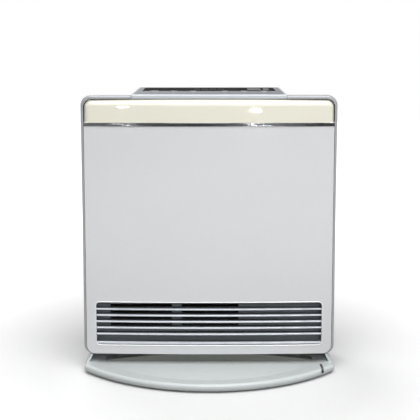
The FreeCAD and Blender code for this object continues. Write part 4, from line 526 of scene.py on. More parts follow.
def moulded_plastic(tint, roughness, depth, wear=0.2, dust=0.0, dust_tint=DUST):
    """Plastic with a moulded grain."""
    finish = Finish()
    grain = finish.effect("moulded grain", Cells=1 / sizes().grain)
    finish.mottle(tint, 0.96, 1.04, grain["Cloud"])
    finish.roughness(grain["Height"], roughness - 0.06, roughness + 0.06)
    edge = finish.soften(sizes().soft_edge, wear)
    finish.shade(None, scaled(tint, 1.15), edge["Mask"])
    finish.relief(grain["Height"], depth, strength=0.5, normal=edge["Normal"])
    finish.dusty(dust, dust_tint)
    return finish


def worked_metal(tint, roughness, stretch, metallic=1.0):
    """Bare metal with lines from brushing or turning."""
    finish = Finish(Metallic=metallic)
    lines = finish.effect("brushed lines", Stretch=stretch)
    finish.mottle(tint, 0.86, 1.08, lines["Height"])
    finish.shade(None, scaled(tint, 0.82), finish.spread(lines["Cloud"], 0.45, 0.8, 0.0, 0.5))
    finish.roughness(lines["Height"], roughness - 0.08, roughness + 0.1)
    edge = finish.soften(sizes().soft_edge, wear=0.4)
    finish.relief(lines["Height"], depth=0.00002, strength=0.5, normal=edge["Normal"])
    return finish


def heated_steel(tint, flame, reach):
    """Bare steel sheet with the tints of heat."""
    finish = worked_metal(tint, roughness=0.34, stretch=(60.0, 1500.0, 1500.0))
    tints = finish.effect("heat tint", Flame=flame, Reach=reach)
    finish.shade(None, STRAW_TINT, finish.sum_up("MULTIPLY", tints["Straw"], 0.6))
    finish.shade(None, BLUE_TINT, finish.sum_up("MULTIPLY", tints["Blue"], 0.6))
    return finish


def case_paint():
    """Silver paint on the folded case."""
    return metallic_paint(colours().case, roughness=0.34, coat=0.35, dust=0.25)


def panel_paint():
    """Pale satin paint on the front panel."""
    return metallic_paint(colours().panel, roughness=0.38, coat=0.25)


def bead_paint():
    """Bright lacquer on the bead round the outlet."""
    return metallic_paint(colours().bead, roughness=0.2, coat=0.6)


def cap_cream():
    """Glossy cream moulding."""
    finish = Finish(Coat_Weight=0.6, Coat_Roughness=0.03)
    grain = finish.effect("moulded grain", Cells=60.0)
    finish.mottle(colours().cap, 0.97, 1.03, grain["Cloud"])
    finish.roughness(grain["Height"], 0.30, 0.38)
    finish.dusty(0.05)
    finish.relief(grain["Height"], depth=0.00001, strength=0.08)
    return finish


def strip_chrome():
    """Bright plating with faint rubbing along its length."""
    finish = Finish(Metallic=1.0)
    lines = finish.effect("brushed lines", Stretch=(30.0, 600.0, 1400.0))
    finish.mottle(colours().strip, 0.9, 1.0, lines["Cloud"])
    finish.roughness(lines["Height"], 0.05, 0.14)
    finish.relief(lines["Height"], depth=0.00001, strength=0.2)
    return finish


def slat_silver():
    """Silver paint on the slats' noses, with painted shade on the plates behind them."""
    finish = metallic_paint(colours().slat, roughness=0.3, coat=0.3)
    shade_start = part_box("outlet_slat_3")[0].y + sizes().nose
    behind = finish.spread(finish.axis(finish.place, "Y"), shade_start, shade_start + SLAT_FADE)
    # Painted shade: the plates behind the noses are darkened to stand for the shadow of the slat
    # above
    finish.shade(None, scaled(colours().slat, 0.16), behind)
    finish.dusty(0.2)
    return finish


def outlet_dark():
    """Heat resisting dark paint."""
    return moulded_plastic(colours().outlet, roughness=0.55, depth=0.00005, wear=0.6, dust=0.35,
                           dust_tint=BAKED_DUST)


def housing_silver():
    """Silver painted moulding round the control film."""
    return metallic_paint(colours().housing, roughness=0.36, coat=0.3, dust=0.15)


def film_grey():
    """Printed film with a fine matt tooth and a paler border."""
    finish = Finish(Specular_IOR_Level=0.2)
    grain = finish.effect("moulded grain", Cells=2600.0)
    finish.mottle(colours().film, 0.95, 1.05, grain["Cloud"])
    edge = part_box("control_film")[1].y - sizes().border
    border = finish.spread(finish.axis(finish.place, "Y"), edge, edge + BORDER_FADE)
    finish.shade(None, scaled(colours().film, 1.45), border)
    finish.roughness(grain["Height"], 0.38, 0.5)
    finish.dusty(0.08)
    finish.relief(grain["Height"], depth=0.00002, strength=0.4)
    return finish


def window_smoke():
    """Smoked window: glossy, nearly black, with fine wiping marks."""
    finish = Finish(Specular_IOR_Level=0.3)
    lines = finish.effect("brushed lines", Stretch=(60.0, 900.0, 900.0))
    finish.mottle(colours().window, 1.0, 1.8, lines["Cloud"])
    finish.roughness(lines["Height"], 0.05, 0.13)
    finish.dusty(0.06)
    return finish


def key_grey():
    """Satin grey keys."""
    return moulded_plastic(colours().keys, roughness=0.42, depth=0.00003, wear=0.5, dust=0.1)


def foot_plastic():
    """Pale moulded foot with a soft sheen and a little dust in the dish."""
    finish = Finish(Coat_Weight=0.15, Coat_Roughness=0.25)
    grain = finish.effect("moulded grain", Cells=1 / sizes().grain)
    finish.mottle(colours().foot, 0.98, 1.02, grain["Cloud"])
    finish.roughness(grain["Height"], 0.30, 0.42)
    edge = finish.soften(radius=0.0009, wear=0.15)
    finish.shade(None, scaled(colours().foot, 1.1), edge["Mask"])
    finish.dusty(0.14)
    finish.relief(grain["Height"], depth=0.00004, strength=0.5, normal=edge["Normal"])
    return finish


def neck_plastic():
    """Moulding under the case, with a dark colour that is painted shade for the case's shadow.
    """
    return moulded_plastic(colours().neck, roughness=0.45, depth=0.00004, dust=0.1)


def black_rubber():
    """Matt rubber."""
    return moulded_plastic(colours().black, roughness=0.75, depth=0.00008, wear=0.3, dust=0.4)


def cover_paint():
    """Satin grey paint of the back cover."""
    return metallic_paint(colours().cover, roughness=0.42, coat=0.15, dust=0.3)


def rail_plastic():
    """Grey moulding of the rails and the filter frames."""
    return moulded_plastic(colours().rails, roughness=0.48, depth=0.00005, dust=0.35)


def filter_net():
    """Fine woven net with fluff caught in it."""
    finish = Finish(Roughness=0.7)
    net = finish.effect("woven net", Pitch=sizes().thread)
    grain = finish.effect("moulded grain", Cells=400.0)
    fluff = finish.spread(grain["Cloud"], 0.5, 0.8, 0.0, 0.5)
    finish.shade(colours().net, FLUFF, fluff)
    closed = finish.spread(finish.sum_up("ADD", net["Thread"], fluff), 0.0, 1.0)
    finish.feed(finish.shader.inputs["Alpha"], closed)
    finish.relief(net["Height"], depth=0.0002)
    return finish


def inlet_brass():
    """Turned brass."""
    return worked_metal(colours().brass, roughness=0.26, stretch=(90.0, 4200.0, 90.0))


def screw_zinc():
    """Bright zinc on the screws."""
    return worked_metal(colours().zinc, roughness=0.28, stretch=(900.0, 900.0, 900.0))


def zinc_sheet():
    """Zinc coated sheet with its spangle."""
    finish = Finish(Metallic=0.9)
    zinc = finish.effect("zinc spangle", Cells=95.0)
    finish.mottle(colours().zinc, 0.82, 1.12, zinc["Patch"])
    finish.roughness(zinc["Patch"], 0.32, 0.5)
    finish.dusty(0.3)
    edge = finish.soften(sizes().soft_edge, wear=0.4)
    finish.relief(zinc["Height"], depth=0.00002, strength=0.3, normal=edge["Normal"])
    return finish


def fan_black():
    """Black paint on the fan, with dust on its blades."""
    return moulded_plastic(colours().black, roughness=0.5, depth=0.00004, wear=0.7, dust=0.6,
                           dust_tint=LINT)


def shaft_steel():
    """Ground shaft."""
    return worked_metal(colours().steel, roughness=0.22, stretch=(4000.0, 80.0, 80.0))


def bush_bronze():
    """Sintered bronze."""
    return worked_metal(scaled(colours().brass, 0.7), roughness=0.45,
                        stretch=(700.0, 700.0, 700.0))


def motor_steel():
    """Drawn motor can under thin grey paint."""
    return worked_metal(scaled(colours().steel, 0.5), roughness=0.4,
                        stretch=(60.0, 2200.0, 2200.0), metallic=0.7)


def heat_steel():
    """Chamber and shield."""
    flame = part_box("burner")[1].z + FLAME_ABOVE
    return heated_steel(colours().steel, flame, reach=0.09)


def burner_steel():
    """Burner head."""
    return heated_steel(scaled(colours().steel, 0.9), flame=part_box("burner")[1].z, reach=0.03)


def probe_ceramic():
    """White ceramic, sooted at the tip."""
    finish = moulded_plastic(colours().ceramic, roughness=0.3, depth=0.00002)
    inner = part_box("burner_probes")[0].x
    clean, sooted = (inner + away for away in SOOT_ENDS)
    soot = finish.spread(finish.axis(finish.place, "X"), clean, sooted, 0.0, 0.8)
    finish.shade(None, SOOT, soot)
    return finish


def valve_aluminium():
    """Die cast aluminium."""
    finish = Finish(Metallic=0.9)
    grain = finish.effect("moulded grain", Cells=700.0)
    finish.shade((0.50, 0.51, 0.52), (0.66, 0.67, 0.68), grain["Height"])
    finish.roughness(grain["Height"], 0.35, 0.55)
    edge = finish.soften(radius=0.001, wear=0.4)
    finish.relief(grain["Height"], depth=0.00012, strength=0.6, normal=edge["Normal"])
    return finish


def coil_black():
    """Black moulded covers."""
    return moulded_plastic(colours().black, roughness=0.45, depth=0.00005, wear=0.4, dust=0.3,
                           dust_tint=LINT)


def plunger_steel():
    """Turned plungers."""
    return worked_metal(colours().steel, roughness=0.25, stretch=(90.0, 90.0, 4200.0))


def board_green():
    """Lacquered board with copper lanes under it."""
    finish = Finish(Coat_Weight=0.4, Coat_Roughness=0.1)
    cells = finish.add("TexVoronoi", {"distance": "CHEBYCHEV", "feature": "DISTANCE_TO_EDGE"},
                       Vector=finish.place, Scale=150.0)
    lane = finish.spread(cells.outputs["Distance"], 0.10, 0.06)
    finish.mottle(colours().board, 1.0, 2.4, lane)
    finish.roughness(lane, 0.3, 0.4)
    finish.relief(lane, depth=0.00003, strength=0.5)
    return finish


def parts_dark():
    """Dark moulded electric parts."""
    return moulded_plastic(scaled(colours().black, 1.8), roughness=0.5, depth=0.00004)


def lead_grey():
    """Insulated leads."""
    return moulded_plastic(colours().leads, roughness=0.5, depth=0.00003)


def core_iron():
    """Stacked iron sheets under varnish."""
    return worked_metal(colours().core, roughness=0.45, stretch=(60.0, 2400.0, 60.0),
                        metallic=0.6)


def print_white():
    """Pale printing ink, a little uneven."""
    return moulded_plastic(colours().ink, roughness=0.5, depth=0.00001, wear=0.0)


def digit_grey():
    """Segments of the display that aren't lit, seen through the smoked window."""
    return moulded_plastic(colours().digits, roughness=0.3, depth=0.00001, wear=0.0)


def field_grey():
    """Bare printed fields on the display window."""
    return moulded_plastic(colours().fields, roughness=0.45, depth=0.00001, wear=0.0)


def lamp_lens():
    """Pale lens of a signal lamp, lit by nothing."""
    finish = Finish(Coat_Weight=0.4, Coat_Roughness=0.05)
    grain = finish.effect("moulded grain", Cells=1500.0)
    finish.shade((0.50, 0.53, 0.55), (0.62, 0.65, 0.66), grain["Cloud"])
    finish.roughness(grain["Height"], 0.2, 0.35)
    return finish


FINISH_MAKERS = {maker.__name__: maker for maker in (
    case_paint, panel_paint, bead_paint, cap_cream, strip_chrome, slat_silver, outlet_dark,
    housing_silver, film_grey, window_smoke, key_grey, foot_plastic, neck_plastic, black_rubber,
    cover_paint, rail_plastic, filter_net, inlet_brass, screw_zinc, zinc_sheet, fan_black,
    shaft_steel, bush_bronze, motor_steel, heat_steel, burner_steel, probe_ceramic,
    valve_aluminium, coil_black, plunger_steel, board_green, parts_dark, lead_grey, core_iron,
    print_white, digit_grey, field_grey, lamp_lens)}
made_finishes = {}


def finish_named(name):
    """The material of a finish, made when it is first wanted."""
    if name not in made_finishes:
        made_finishes[name] = FINISH_MAKERS[name]().material
        made_finishes[name].name = name
    return made_finishes[name]


def dress(nodes):
    """Give each node the finish of its slot in the record."""
    for node in nodes:
        for slot in frame["nodes"][node].material_slots:
            slot.material = finish_named(SLOT_OF[node])


# New pieces


def deselect_all():
    """Leave nothing selected, so that an operator acts on new things alone."""
    bpy.ops.object.select_all(action="DESELECT")


def activate(piece):
    """Make a piece the one that operators act on."""
    bpy.context.view_layer.objects.active = piece


def fix_place():
    """Put the active piece's place, turn and scale into its mesh."""
    bpy.ops.object.transform_apply(location=True, rotation=True, scale=True)


def enter_edit(action="SELECT"):
    """Go into edit mode with everything selected, or nothing."""
    bpy.ops.object.mode_set(mode="EDIT")
    bpy.ops.mesh.select_all(action=action)


def leave_edit():
    """Go back to object mode."""
    bpy.ops.object.mode_set(mode="OBJECT")


def settle(piece, name, slot, finish=None, angle=SMOOTH):
    """Give a new piece its name, finish and body, with its place in its mesh."""
    deselect_all()
    piece.select_set(True)
    activate(piece)
    fix_place()
    bpy.ops.object.shade_smooth_by_angle(angle=math.radians(angle))
    piece.name = name
    piece.data.name = name
    piece.data.materials.clear()
    piece.data.materials.append(finish_named(finish or slot))
    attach(piece, "heater")
    return piece


def join_pieces(pieces):
    """Join new pieces into one."""
    deselect_all()
    for piece in pieces:
        piece.select_set(True)
    activate(pieces[0])
    if len(pieces) > 1:
        bpy.ops.object.join()
    return bpy.context.object


def block(size, place=(0, 0, 0)):
    """A box to start a piece from."""
    deselect_all()
    bpy.ops.mesh.primitive_cube_add(size=1.0, location=place)
    bpy.context.object.scale = size
    fix_place()
    return bpy.context.object


def round_edges(piece, chosen, radius, segments):
    """Round the edges of a piece whose two ends pass a test."""
    enter_edit("DESELECT")
    leave_edit()
    for edge in piece.data.edges:
        edge.select = chosen(*(piece.data.vertices[end].co for end in edge.vertices))
    bpy.ops.object.mode_set(mode="EDIT")
    bpy.ops.mesh.select_mode(type="EDGE")
    bpy.ops.mesh.bevel(offset=radius, segments=segments)
    leave_edit()


def combine(piece, other, operation):
    """Add another piece to a piece, or cut it away, and use it up."""
    change = piece.modifiers.new("combine", "BOOLEAN")
    change.operation = operation
    change.object = other
    activate(piece)
    bpy.ops.object.modifier_apply(modifier=change.name)
    bpy.data.objects.remove(other)
    return piece


def halfway(values):
    """Middle between the lowest and the highest of some values."""
    return (min(values) + max(values)) / 2


def middle(node):
    """Middle of a node's box, seen from above."""
    low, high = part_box(node)
    return halfway((low.x, high.x)), halfway((low.y, high.y))


def meets(node, place, direction):
    """Where a ray meets a CAD node, and the normal there, or nothing."""
    found, spot, normal, _ = frame["nodes"][node].ray_cast(place, direction)
    return (spot, normal) if found else None


def opening_edge(node, inside, outside):
    """Where an opening ends on the way from a place inside it to one outside, seen from -Y."""
    inside, outside = Vector(inside), Vector(outside)
    for _ in range(HALVINGS):
        between = (inside + outside) / 2
        if meets(node, between, (0, 1, 0)):
            outside = between
        else:
            inside = between
    return outside


def extrude_up(height):
    """Give the active flat shape a thickness, with its faces outwards."""
    enter_edit()
    bpy.ops.mesh.extrude_region_move(TRANSFORM_OT_translate={"value": (0, 0, height)})
    bpy.ops.mesh.select_all(action="SELECT")
    bpy.ops.mesh.normals_make_consistent(inside=False)
    leave_edit()


def flat_shape(corners, reach, place=(0, 0), turn=0.0):
    """A many-cornered print, reach along and across, at a place on the floor plane."""
    deselect_all()
    bpy.ops.mesh.primitive_circle_add(vertices=corners, radius=1.0, fill_type="NGON",
                                      rotation=(0, 0, math.pi / corners))
    plate = bpy.context.object
    fix_place()
    plate.scale = (*reach, 1)
    plate.rotation_euler = (0, 0, turn)
    plate.location = (*place, 0)
    fix_place()
    extrude_up(sizes().ink)
    return plate


def bar(width, depth, place=(0, 0)):
    """A straight print with square ends."""
    corner = math.sqrt(0.5)
    return flat_shape(4, (width * corner, depth * corner), place)


def ring(radius, width, place=(0, 0)):
    """A ring of print."""
    deselect_all()
    bpy.ops.mesh.primitive_circle_add(vertices=28, radius=radius, fill_type="NGON",
                                      location=(*place, 0))
    hoop = bpy.context.object
    fix_place()
    enter_edit()
    bpy.ops.mesh.inset(thickness=width)
    bpy.ops.mesh.delete(type="FACE")
    extrude_up(sizes().ink)
    return hoop


def lay_on(piece, node, x, y):
    """Move a flat piece from the origin onto a node's upper face, turned with its slope."""
    spot, normal = meets(node, (x, y, ABOVE), (0, 0, -1))
    piece.rotation_euler = (math.atan2(-normal.y, normal.z), 0, 0)
    piece.location = spot


def power_mark():
    """A ring with a stroke."""
    size, line = sizes().mark, sizes().line
    stroke, height = size * 0.55, size * 0.35
    return [ring(size / 2, line), bar(line, stroke, (0, height))]


def lock_mark():
    """A padlock."""
    size, line = sizes().mark, sizes().line
    width, depth, bow = size * 0.9, size * 0.6, size * 0.3
    away = size * 0.2
    return [bar(width, depth, (0, -away)), ring(bow, line, (0, away))]


def clock_mark():
    """A dial with two hands."""
    size, line = sizes().mark, sizes().line
    minutes, minutes_off = size * 0.35, size * 0.13
    hours, hours_off = size * 0.28, size * 0.1
    return [ring(size / 2, line), bar(line, minutes, (0, minutes_off)),
            bar(hours, line, (hours_off, 0))]


def lower_mark():
    """A wedge that points at the user."""
    return [flat_shape(3, (sizes().mark / 2, sizes().mark / 2), turn=math.pi / 6 + math.pi)]


def higher_mark():
    """A wedge that points away from the user."""
    return [flat_shape(3, (sizes().mark / 2, sizes().mark / 2), turn=math.pi / 6)]


KEY_MARKS = {"power": power_mark, "child_lock": lock_mark, "timer_on": clock_mark,
             "timer_off": clock_mark, "temperature_down": lower_mark,
             "temperature_up": higher_mark}


def make_marks():
    """A printed mark on the film in front of each key."""
    for key, maker in KEY_MARKS.items():
        button = key + "_button"
        mark = join_pieces(maker())
        lay_on(mark, "control_film", middle(button)[0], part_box(button)[0].y - sizes().mark)
        settle(mark, key + "_mark", "film_grey", "print_white")


def make_signal_lamps():
    """Small signal lamps behind three of the keys."""
    depth, proud = sizes().lamp_depth, sizes().lamp_proud
    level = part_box("display_window")[0].y - depth
    for key in ("child_lock", "timer_on", "timer_off"):
        lamp = block((sizes().lamp_width, depth, proud * 2))
        enter_edit()
        bpy.ops.mesh.bevel(offset=proud * LAMP_ROUND_SHARE, segments=3)
        leave_edit()
        lay_on(lamp, "control_film", middle(key + "_button")[0], level)
        settle(lamp, key + "_lamp", "film_grey", "lamp_lens")


def make_digit(place):
    """Seven unlit segments."""
    width, height = sizes().digit_width, sizes().digit_height
    thick = sizes().line * STROKE_SHARE
    across = (width * LEVEL_STROKE_SHARE, thick / 2)
    upright = (height * UPRIGHT_STROKE_SHARE, thick / 2)
    segments = []
    for level in (-1, 0, 1):
        segments.append(flat_shape(6, across, (place, level * height / 2)))
    for side in (-1, 1):
        for level in (-1, 1):
            spot = (place + side * width / 2, level * height / 4)
            segments.append(flat_shape(6, upright, spot, math.pi / 2))
    return segments


def make_digits():
    """Four unlit digits under the smoked window, with a colon."""
    pieces = []
    for step in DIGIT_STEPS:
        pieces.extend(make_digit(step * sizes().digit_pitch))
    for level in (-1, 1):
        spot = (0, level * sizes().digit_height / 5)
        pieces.append(flat_shape(8, (sizes().line, sizes().line), spot))
    digits = join_pieces(pieces)
    lay_on(digits, "display_window", *middle("display_window"))
    settle(digits, "display_digits", "window_smoke", "digit_grey")


def make_fields():
    """Two bare printed fields at the window's right end."""
    low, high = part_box("display_window")
    for name, share, width in FIELDS:
        field = bar(width, (high.y - low.y) * FIELD_DEPTH_SHARE)
        enter_edit()
        bpy.ops.mesh.bevel(offset=sizes().field_corner, segments=4, affect="VERTICES",
                           clamp_overlap=True)
        leave_edit()
        lay_on(field, "display_window", low.x + (high.x - low.x) * share, (low.y + high.y) / 2)
        settle(field, "window_field_" + name, "window_smoke", "field_grey")


def make_outlet_bead():
    """Rounded bead that edges the opening of the front panel."""
    low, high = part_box("outlet_frame")
    front = CAD_BOX[0][1]
    centre = (low + high) / 2
    centre.y = front
    wide, tall = OUTLET_SEARCH
    reach = [opening_edge("front_panel", centre, centre + Vector(way))
             for way in ((-wide, 0, 0), (wide, 0, 0), (0, 0, -tall), (0, 0, tall))]
    out = sizes().bead * BEAD_OUT_SHARE
    left, right = reach[0].x - out, reach[1].x + out
    bottom, top = reach[2].z - out, reach[3].z + out
    square = Vector((reach[1].x, front, reach[3].z))
    inside = square - Vector((CORNER_SEARCH, 0, CORNER_SEARCH))
    diagonal = opening_edge("front_panel", inside, square)
    corner = (square - diagonal).length / (math.sqrt(2) - 1) + out
    deselect_all()
    bpy.ops.mesh.primitive_plane_add(size=1.0, rotation=(math.radians(90), 0, 0),
                                     location=((left + right) / 2, front, (bottom + top) / 2))
    bead = bpy.context.object
    bead.scale = (right - left, top - bottom, 1)
    fix_place()
    enter_edit()
    bpy.ops.mesh.delete(type="ONLY_FACE")
    bpy.ops.mesh.select_all(action="SELECT")
    bpy.ops.mesh.bevel(offset=corner, segments=8, affect="VERTICES")
    bpy.ops.mesh.select_all(action="SELECT")
    bpy.ops.mesh.subdivide(number_cuts=9)
    leave_edit()
    wrap = bead.modifiers.new("follow_the_panel", "SHRINKWRAP")
    wrap.wrap_method = "PROJECT"
    wrap.use_project_y = True
    wrap.target = frame["nodes"]["front_panel"]
    bpy.ops.object.modifier_apply(modifier=wrap.name)
    bpy.ops.object.convert(target="CURVE")
    bead = bpy.context.object
    bead.data.bevel_depth = sizes().bead
    bead.data.bevel_resolution = 3
    bpy.ops.object.convert(target="MESH")
    settle(bpy.context.object, "outlet_bead", "panel_paint", "bead_paint", SMOOTH_BEAD)


def make_slit_lining():
    """Black lining of the slit for the cord in the foot's lip."""
    width, height = sizes().slit_width, sizes().slit_height
    low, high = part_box("base_tray")
    across = high.x - sizes().slit_inset
    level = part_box("base_neck")[0].z
    beside = meets("base_tray", (across - width * 1.5, low.y, level), (0, 1, 0))
    front = beside[0].y + sizes().slit_sunk
    back = RIM_Y - sizes().slit_depth
    lining = block((width, back - front, height), (across, (front + back) / 2, level))

    def in_front(one, other):
        """Whether an edge runs level across the lining's front."""
        return max(one.y, other.y) - front < NEAR and one.z == other.z

    round_edges(lining, in_front, height * SLIT_ROUND_SHARE, 6)
    settle(lining, "cord_slit_lining", "black_rubber")


def screw_heads():
    """Middles of the flat heads on the back, found in the screws' own mesh."""
    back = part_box("case_screws")[1].y
    apart = sizes().crown * 3
    heads = []
    for vertex in frame["nodes"]["case_screws"].data.vertices:
        spot = vertex.co
        if back - spot.y > NEAR:
            continue
        near = [head for head in heads if (head[0] - spot).length < apart]
        if near:
            near[0].append(spot)
        else:
            heads.append([spot])
    return [Vector((halfway([spot.x for spot in head]), back,
                    halfway([spot.z for spot in head]))) for head in heads]


def make_crown():
    """A domed crown with a cross recess, its foot on the floor plane."""
    radius, height = sizes().crown, sizes().crown_height
    deselect_all()
    bpy.ops.mesh.primitive_cylinder_add(vertices=32, radius=radius, depth=height,
                                        location=(0, 0, height / 2))
    crown = bpy.context.object
    fix_place()
    rounded = height * CROWN_ROUND_SHARE
    round_edges(crown, lambda one, other: min(one.z, other.z) > rounded, rounded, 4)
    reach, width = radius * RECESS_REACH_SHARE, radius * RECESS_WIDTH_SHARE
    arm, crossing = [block((*size, reach * 2)) for size in ((reach, width), (width, reach))]
    return combine(crown, combine(arm, crossing, "UNION"), "DIFFERENCE")


def make_screw_crowns():
    """Crowns with a cross recess on the heads of the back's screws."""
    model = make_crown()
    crowns = []
    for spot in screw_heads():
        crown = model.copy()
        crown.data = model.data.copy()
        bpy.context.scene.collection.objects.link(crown)
        crown.rotation_euler = (math.radians(-90), 0, 0)
        crown.location = spot
        crowns.append(crown)
    bpy.data.objects.remove(model)
    settle(join_pieces(crowns), "screw_crowns", "screw_zinc")


# Studio


def seen_ray(wiring):
    """1 for rays that show a surface: from the camera, a mirror or glass."""
    path = wiring.add("LightPath")
    seen = wiring.sum_up("MAXIMUM", path.outputs["Is Camera Ray"], path.outputs["Is Glossy Ray"])
    return wiring.sum_up("MAXIMUM", seen, path.outputs["Is Transmission Ray"])


def make_floor(studio):
    """Plain floor that shows white and keeps the heater's shadow."""
    deselect_all()
    bpy.ops.mesh.primitive_plane_add(size=studio.floor_size)
    floor = bpy.context.object
    floor.name = "studio_floor"
    white = Finish("floor_white", Roughness=0.9)
    white.shade(studio.bounce, studio.floor, seen_ray(white))
    away = white.reckon("VectorMath", "LENGTH", white.place)
    far = white.spread(away.outputs["Value"], *FLOOR_GLOW)
    glow = white.add("Emission", Strength=white.sum_up("MULTIPLY", far, seen_ray(white)))
    both = white.add("AddShader")
    white.feed(both.inputs[0], white.shader.outputs[0])
    white.feed(both.inputs[1], glow.outputs[0])
    white.show(both)
    floor.data.materials.append(white.material)


def make_card(name, size, place, shades):
    """Dim upright card that only glossy faces reflect, in bands from one shade to another."""
    deselect_all()
    bpy.ops.mesh.primitive_plane_add(size=1.0)
    card = bpy.context.object
    card.name = name
    card.dimensions = (*size, 0.0)
    card.rotation_euler = (math.radians(90), 0, 0)
    card.location = place
    fix_place()
    bands = Finish(name + "_bands")
    sideways = bands.add("CombineXYZ", X=bands.axis(bands.place, "X"))
    wave = bands.noise(sideways.outputs[0], scale=3.1, detail=4.0)
    band = bands.spread(wave, 0.52, 0.72, *shades)
    bands.show(bands.add("Emission", Strength=band))
    card.data.materials.append(bands.material)
    card.visible_camera = False
    card.visible_diffuse = False
    card.visible_transmission = False
    card.visible_shadow = False


def make_room_light(scene, studio):
    """White surroundings, which light the heater more gently than they show."""
    world = bpy.data.worlds.new("studio_room")
    world.use_nodes = True
    scene.world = world
    wiring = Wiring(world.node_tree)
    background = world.node_tree.nodes["Background"]
    background.inputs["Color"].default_value = (1.0, 1.0, 1.0, 1.0)
    strength = wiring.spread(seen_ray(wiring), 0.0, 1.0, studio.room, 1.0)
    wiring.feed(background.inputs["Strength"], strength)


def make_studio_lamp(name, place, aim, size, watts):
    """A rectangular soft lamp that looks at the heater."""
    lamp = bpy.data.lights.new(name, "AREA")
    lamp.shape = "RECTANGLE"
    lamp.size, lamp.size_y = size
    lamp.energy = watts
    holder = bpy.data.objects.new(name, lamp)
    bpy.context.scene.collection.objects.link(holder)
    holder.location = place
    holder.rotation_euler = (aim - Vector(place)).to_track_quat("-Z", "Y").to_euler()


def make_camera(scene, studio):
    """The photograph's view."""
    camera = bpy.data.cameras.new("camera")
    camera.sensor_width = SENSOR
    camera.lens = studio.focal
    camera.shift_x = studio.slide
    camera.shift_y = studio.lift
    holder = bpy.data.objects.new("camera", camera)
    scene.collection.objects.link(holder)
    holder.location = (0, RIM_Y - studio.distance, studio.height)
    holder.rotation_euler = (math.radians(90) - studio.tilt, 0, 0)
    scene.camera = holder


def make_glint(name, place, studio):
    """A small lamp whose reflection on the cap falls on a pixel of the photograph."""
    camera = bpy.context.scene.camera
    bpy.context.view_layer.update()
    column, row = place
    across = ((column / IMAGE_SIDE - 0.5) + studio.slide) * SENSOR / studio.focal
    upward = ((0.5 - row / IMAGE_SIDE) + studio.lift) * SENSOR / studio.focal
    sight = (camera.matrix_world.to_3x3() @ Vector((across, upward, -1))).normalized()
    spot, normal = meets("top_cap", camera.location, sight)
    bounce = sight.reflect(normal)
    make_studio_lamp(name, spot + bounce * GLINT_AWAY, spot, GLINT_SIZE, studio.glint_power)


# Operators


class HEATER_OT_effects(bpy.types.Operator):
    """Make the shader groups that the finishes share"""

    bl_idname = "heater.effects"
    bl_label = "Shared effects"

    def execute(self, context):
        for maker in GROUP_MAKERS:
            maker()
        return {"FINISHED"}


class HEATER_OT_casing(bpy.types.Operator):
    """Finish the case, the front panel, the cap and the strip"""

    bl_idname = "heater.casing"
    bl_label = "Casing"

    def execute(self, context):
        dress(["outer_case", "front_panel", "top_cap", "chrome_strip"])
        return {"FINISHED"}


class HEATER_OT_outlet(bpy.types.Operator):
    """Finish the warm air outlet"""

    bl_idname = "heater.outlet"
    bl_label = "Outlet"

    def execute(self, context):
        dress([node for node in SLOT_OF if node.startswith("outlet_")])
        make_outlet_bead()
        return {"FINISHED"}


class HEATER_OT_controls(bpy.types.Operator):
    """Finish the control panel and its buttons"""

    bl_idname = "heater.controls"
    bl_label = "Controls"

    def execute(self, context):
        dress(["control_housing", "control_film", "display_window", "display_board",
               "display_components"])
        dress([node for node in SLOT_OF if node.endswith("_button")])
        make_marks()
        make_signal_lamps()
        make_digits()
        make_fields()
        return {"FINISHED"}


class HEATER_OT_foot(bpy.types.Operator):
    """Finish the foot"""

    bl_idname = "heater.foot"
    bl_label = "Foot"

    def execute(self, context):
        dress(["base_tray", "base_neck", "rubber_feet"])
        make_slit_lining()
        return {"FINISHED"}


class HEATER_OT_back(bpy.types.Operator):
    """Finish the back cover, the filters and the inlets"""

    bl_idname = "heater.back"
    bl_label = "Back"

    def execute(self, context):
        dress(["rear_cover", "case_screws", "gas_inlet", "cord_gland", "room_thermistor"])
        dress([node for node in SLOT_OF if node.startswith("filter_")])
        make_screw_crowns()
        return {"FINISHED"}


class HEATER_OT_works(bpy.types.Operator):
    """Finish everything inside the case"""

    bl_idname = "heater.works"
    bl_label = "Works"

    def execute(self, context):
        dress(["mid_shelf", "fan_duct", "fan_rotor", "fan_shaft", "fan_bush", "fan_motor",
               "burner_chamber", "burner", "gas_manifold", "heat_shield", "burner_probes",
               "overheat_switch", "side_wall", "gas_valve_block", "valve_coils",
               "safety_valve_plunger", "main_valve_plunger", "gas_pipe", "spark_transformer",
               "board_case", "control_board", "wire_harness", "mains_transformer",
               "tilt_switch"])
        return {"FINISHED"}


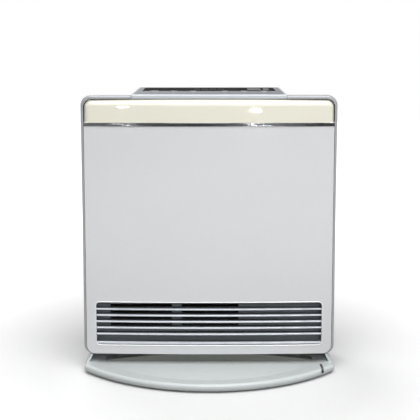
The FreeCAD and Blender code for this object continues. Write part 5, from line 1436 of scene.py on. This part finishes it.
class HEATER_OT_studio(bpy.types.Operator):
    """Build the floor, the lamps, the room light and the camera"""

    bl_idname = "heater.studio"
    bl_label = "Studio"

    def execute(self, context):
        studio = context.scene.heater_studio
        make_floor(studio)
        for name, size, place, shades in CARDS:
            make_card("studio_" + name + "_card", size, place, shades)
        make_room_light(context.scene, studio)
        aim = Vector((0, 0, (CAD_BOX[0][2] + CAD_BOX[1][2]) / 2))
        for name, place, size in LAMPS:
            make_studio_lamp(name + "_lamp", place, aim, size, getattr(studio, name + "_power"))
        make_camera(context.scene, studio)
        make_glint("left_glint", studio.left_glint, studio)
        make_glint("right_glint", studio.right_glint, studio)
        context.scene.view_settings.view_transform = "Standard"
        return {"FINISHED"}


class HEATER_PT_panel(bpy.types.Panel):
    """Settings and steps of the heater"""

    bl_idname = "HEATER_PT_panel"
    bl_label = "Gas fan heater"
    bl_space_type = "VIEW_3D"
    bl_region_type = "UI"
    bl_category = "Heater"

    def draw(self, context):
        for settings in SETTINGS:
            group = getattr(context.scene, settings)
            box = self.layout.box()
            for name in group.__annotations__:
                box.prop(group, name)
        for operator in OPERATORS:
            self.layout.operator(operator.bl_idname)


SETTINGS = {"heater_colours": HeaterColours, "heater_sizes": HeaterSizes,
            "heater_studio": StudioSettings}
OPERATORS = (HEATER_OT_effects, HEATER_OT_casing, HEATER_OT_outlet, HEATER_OT_controls,
             HEATER_OT_foot, HEATER_OT_back, HEATER_OT_works, HEATER_OT_studio)
CLASSES = (*SETTINGS.values(), *OPERATORS, HEATER_PT_panel)


def register():
    """Register the settings, the operators and the panel."""
    for kind in CLASSES:
        bpy.utils.register_class(kind)
    for name, kind in SETTINGS.items():
        setattr(bpy.types.Scene, name, PointerProperty(type=kind))


def unregister():
    """Take everything back out."""
    for name in SETTINGS:
        delattr(bpy.types.Scene, name)
    for kind in reversed(CLASSES):
        bpy.utils.unregister_class(kind)


def main():
    """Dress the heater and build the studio."""
    register()
    for operator in OPERATORS:
        group, name = operator.bl_idname.split(".")
        getattr(getattr(bpy.ops, group), name)()


if __name__ == "__main__":
    main()
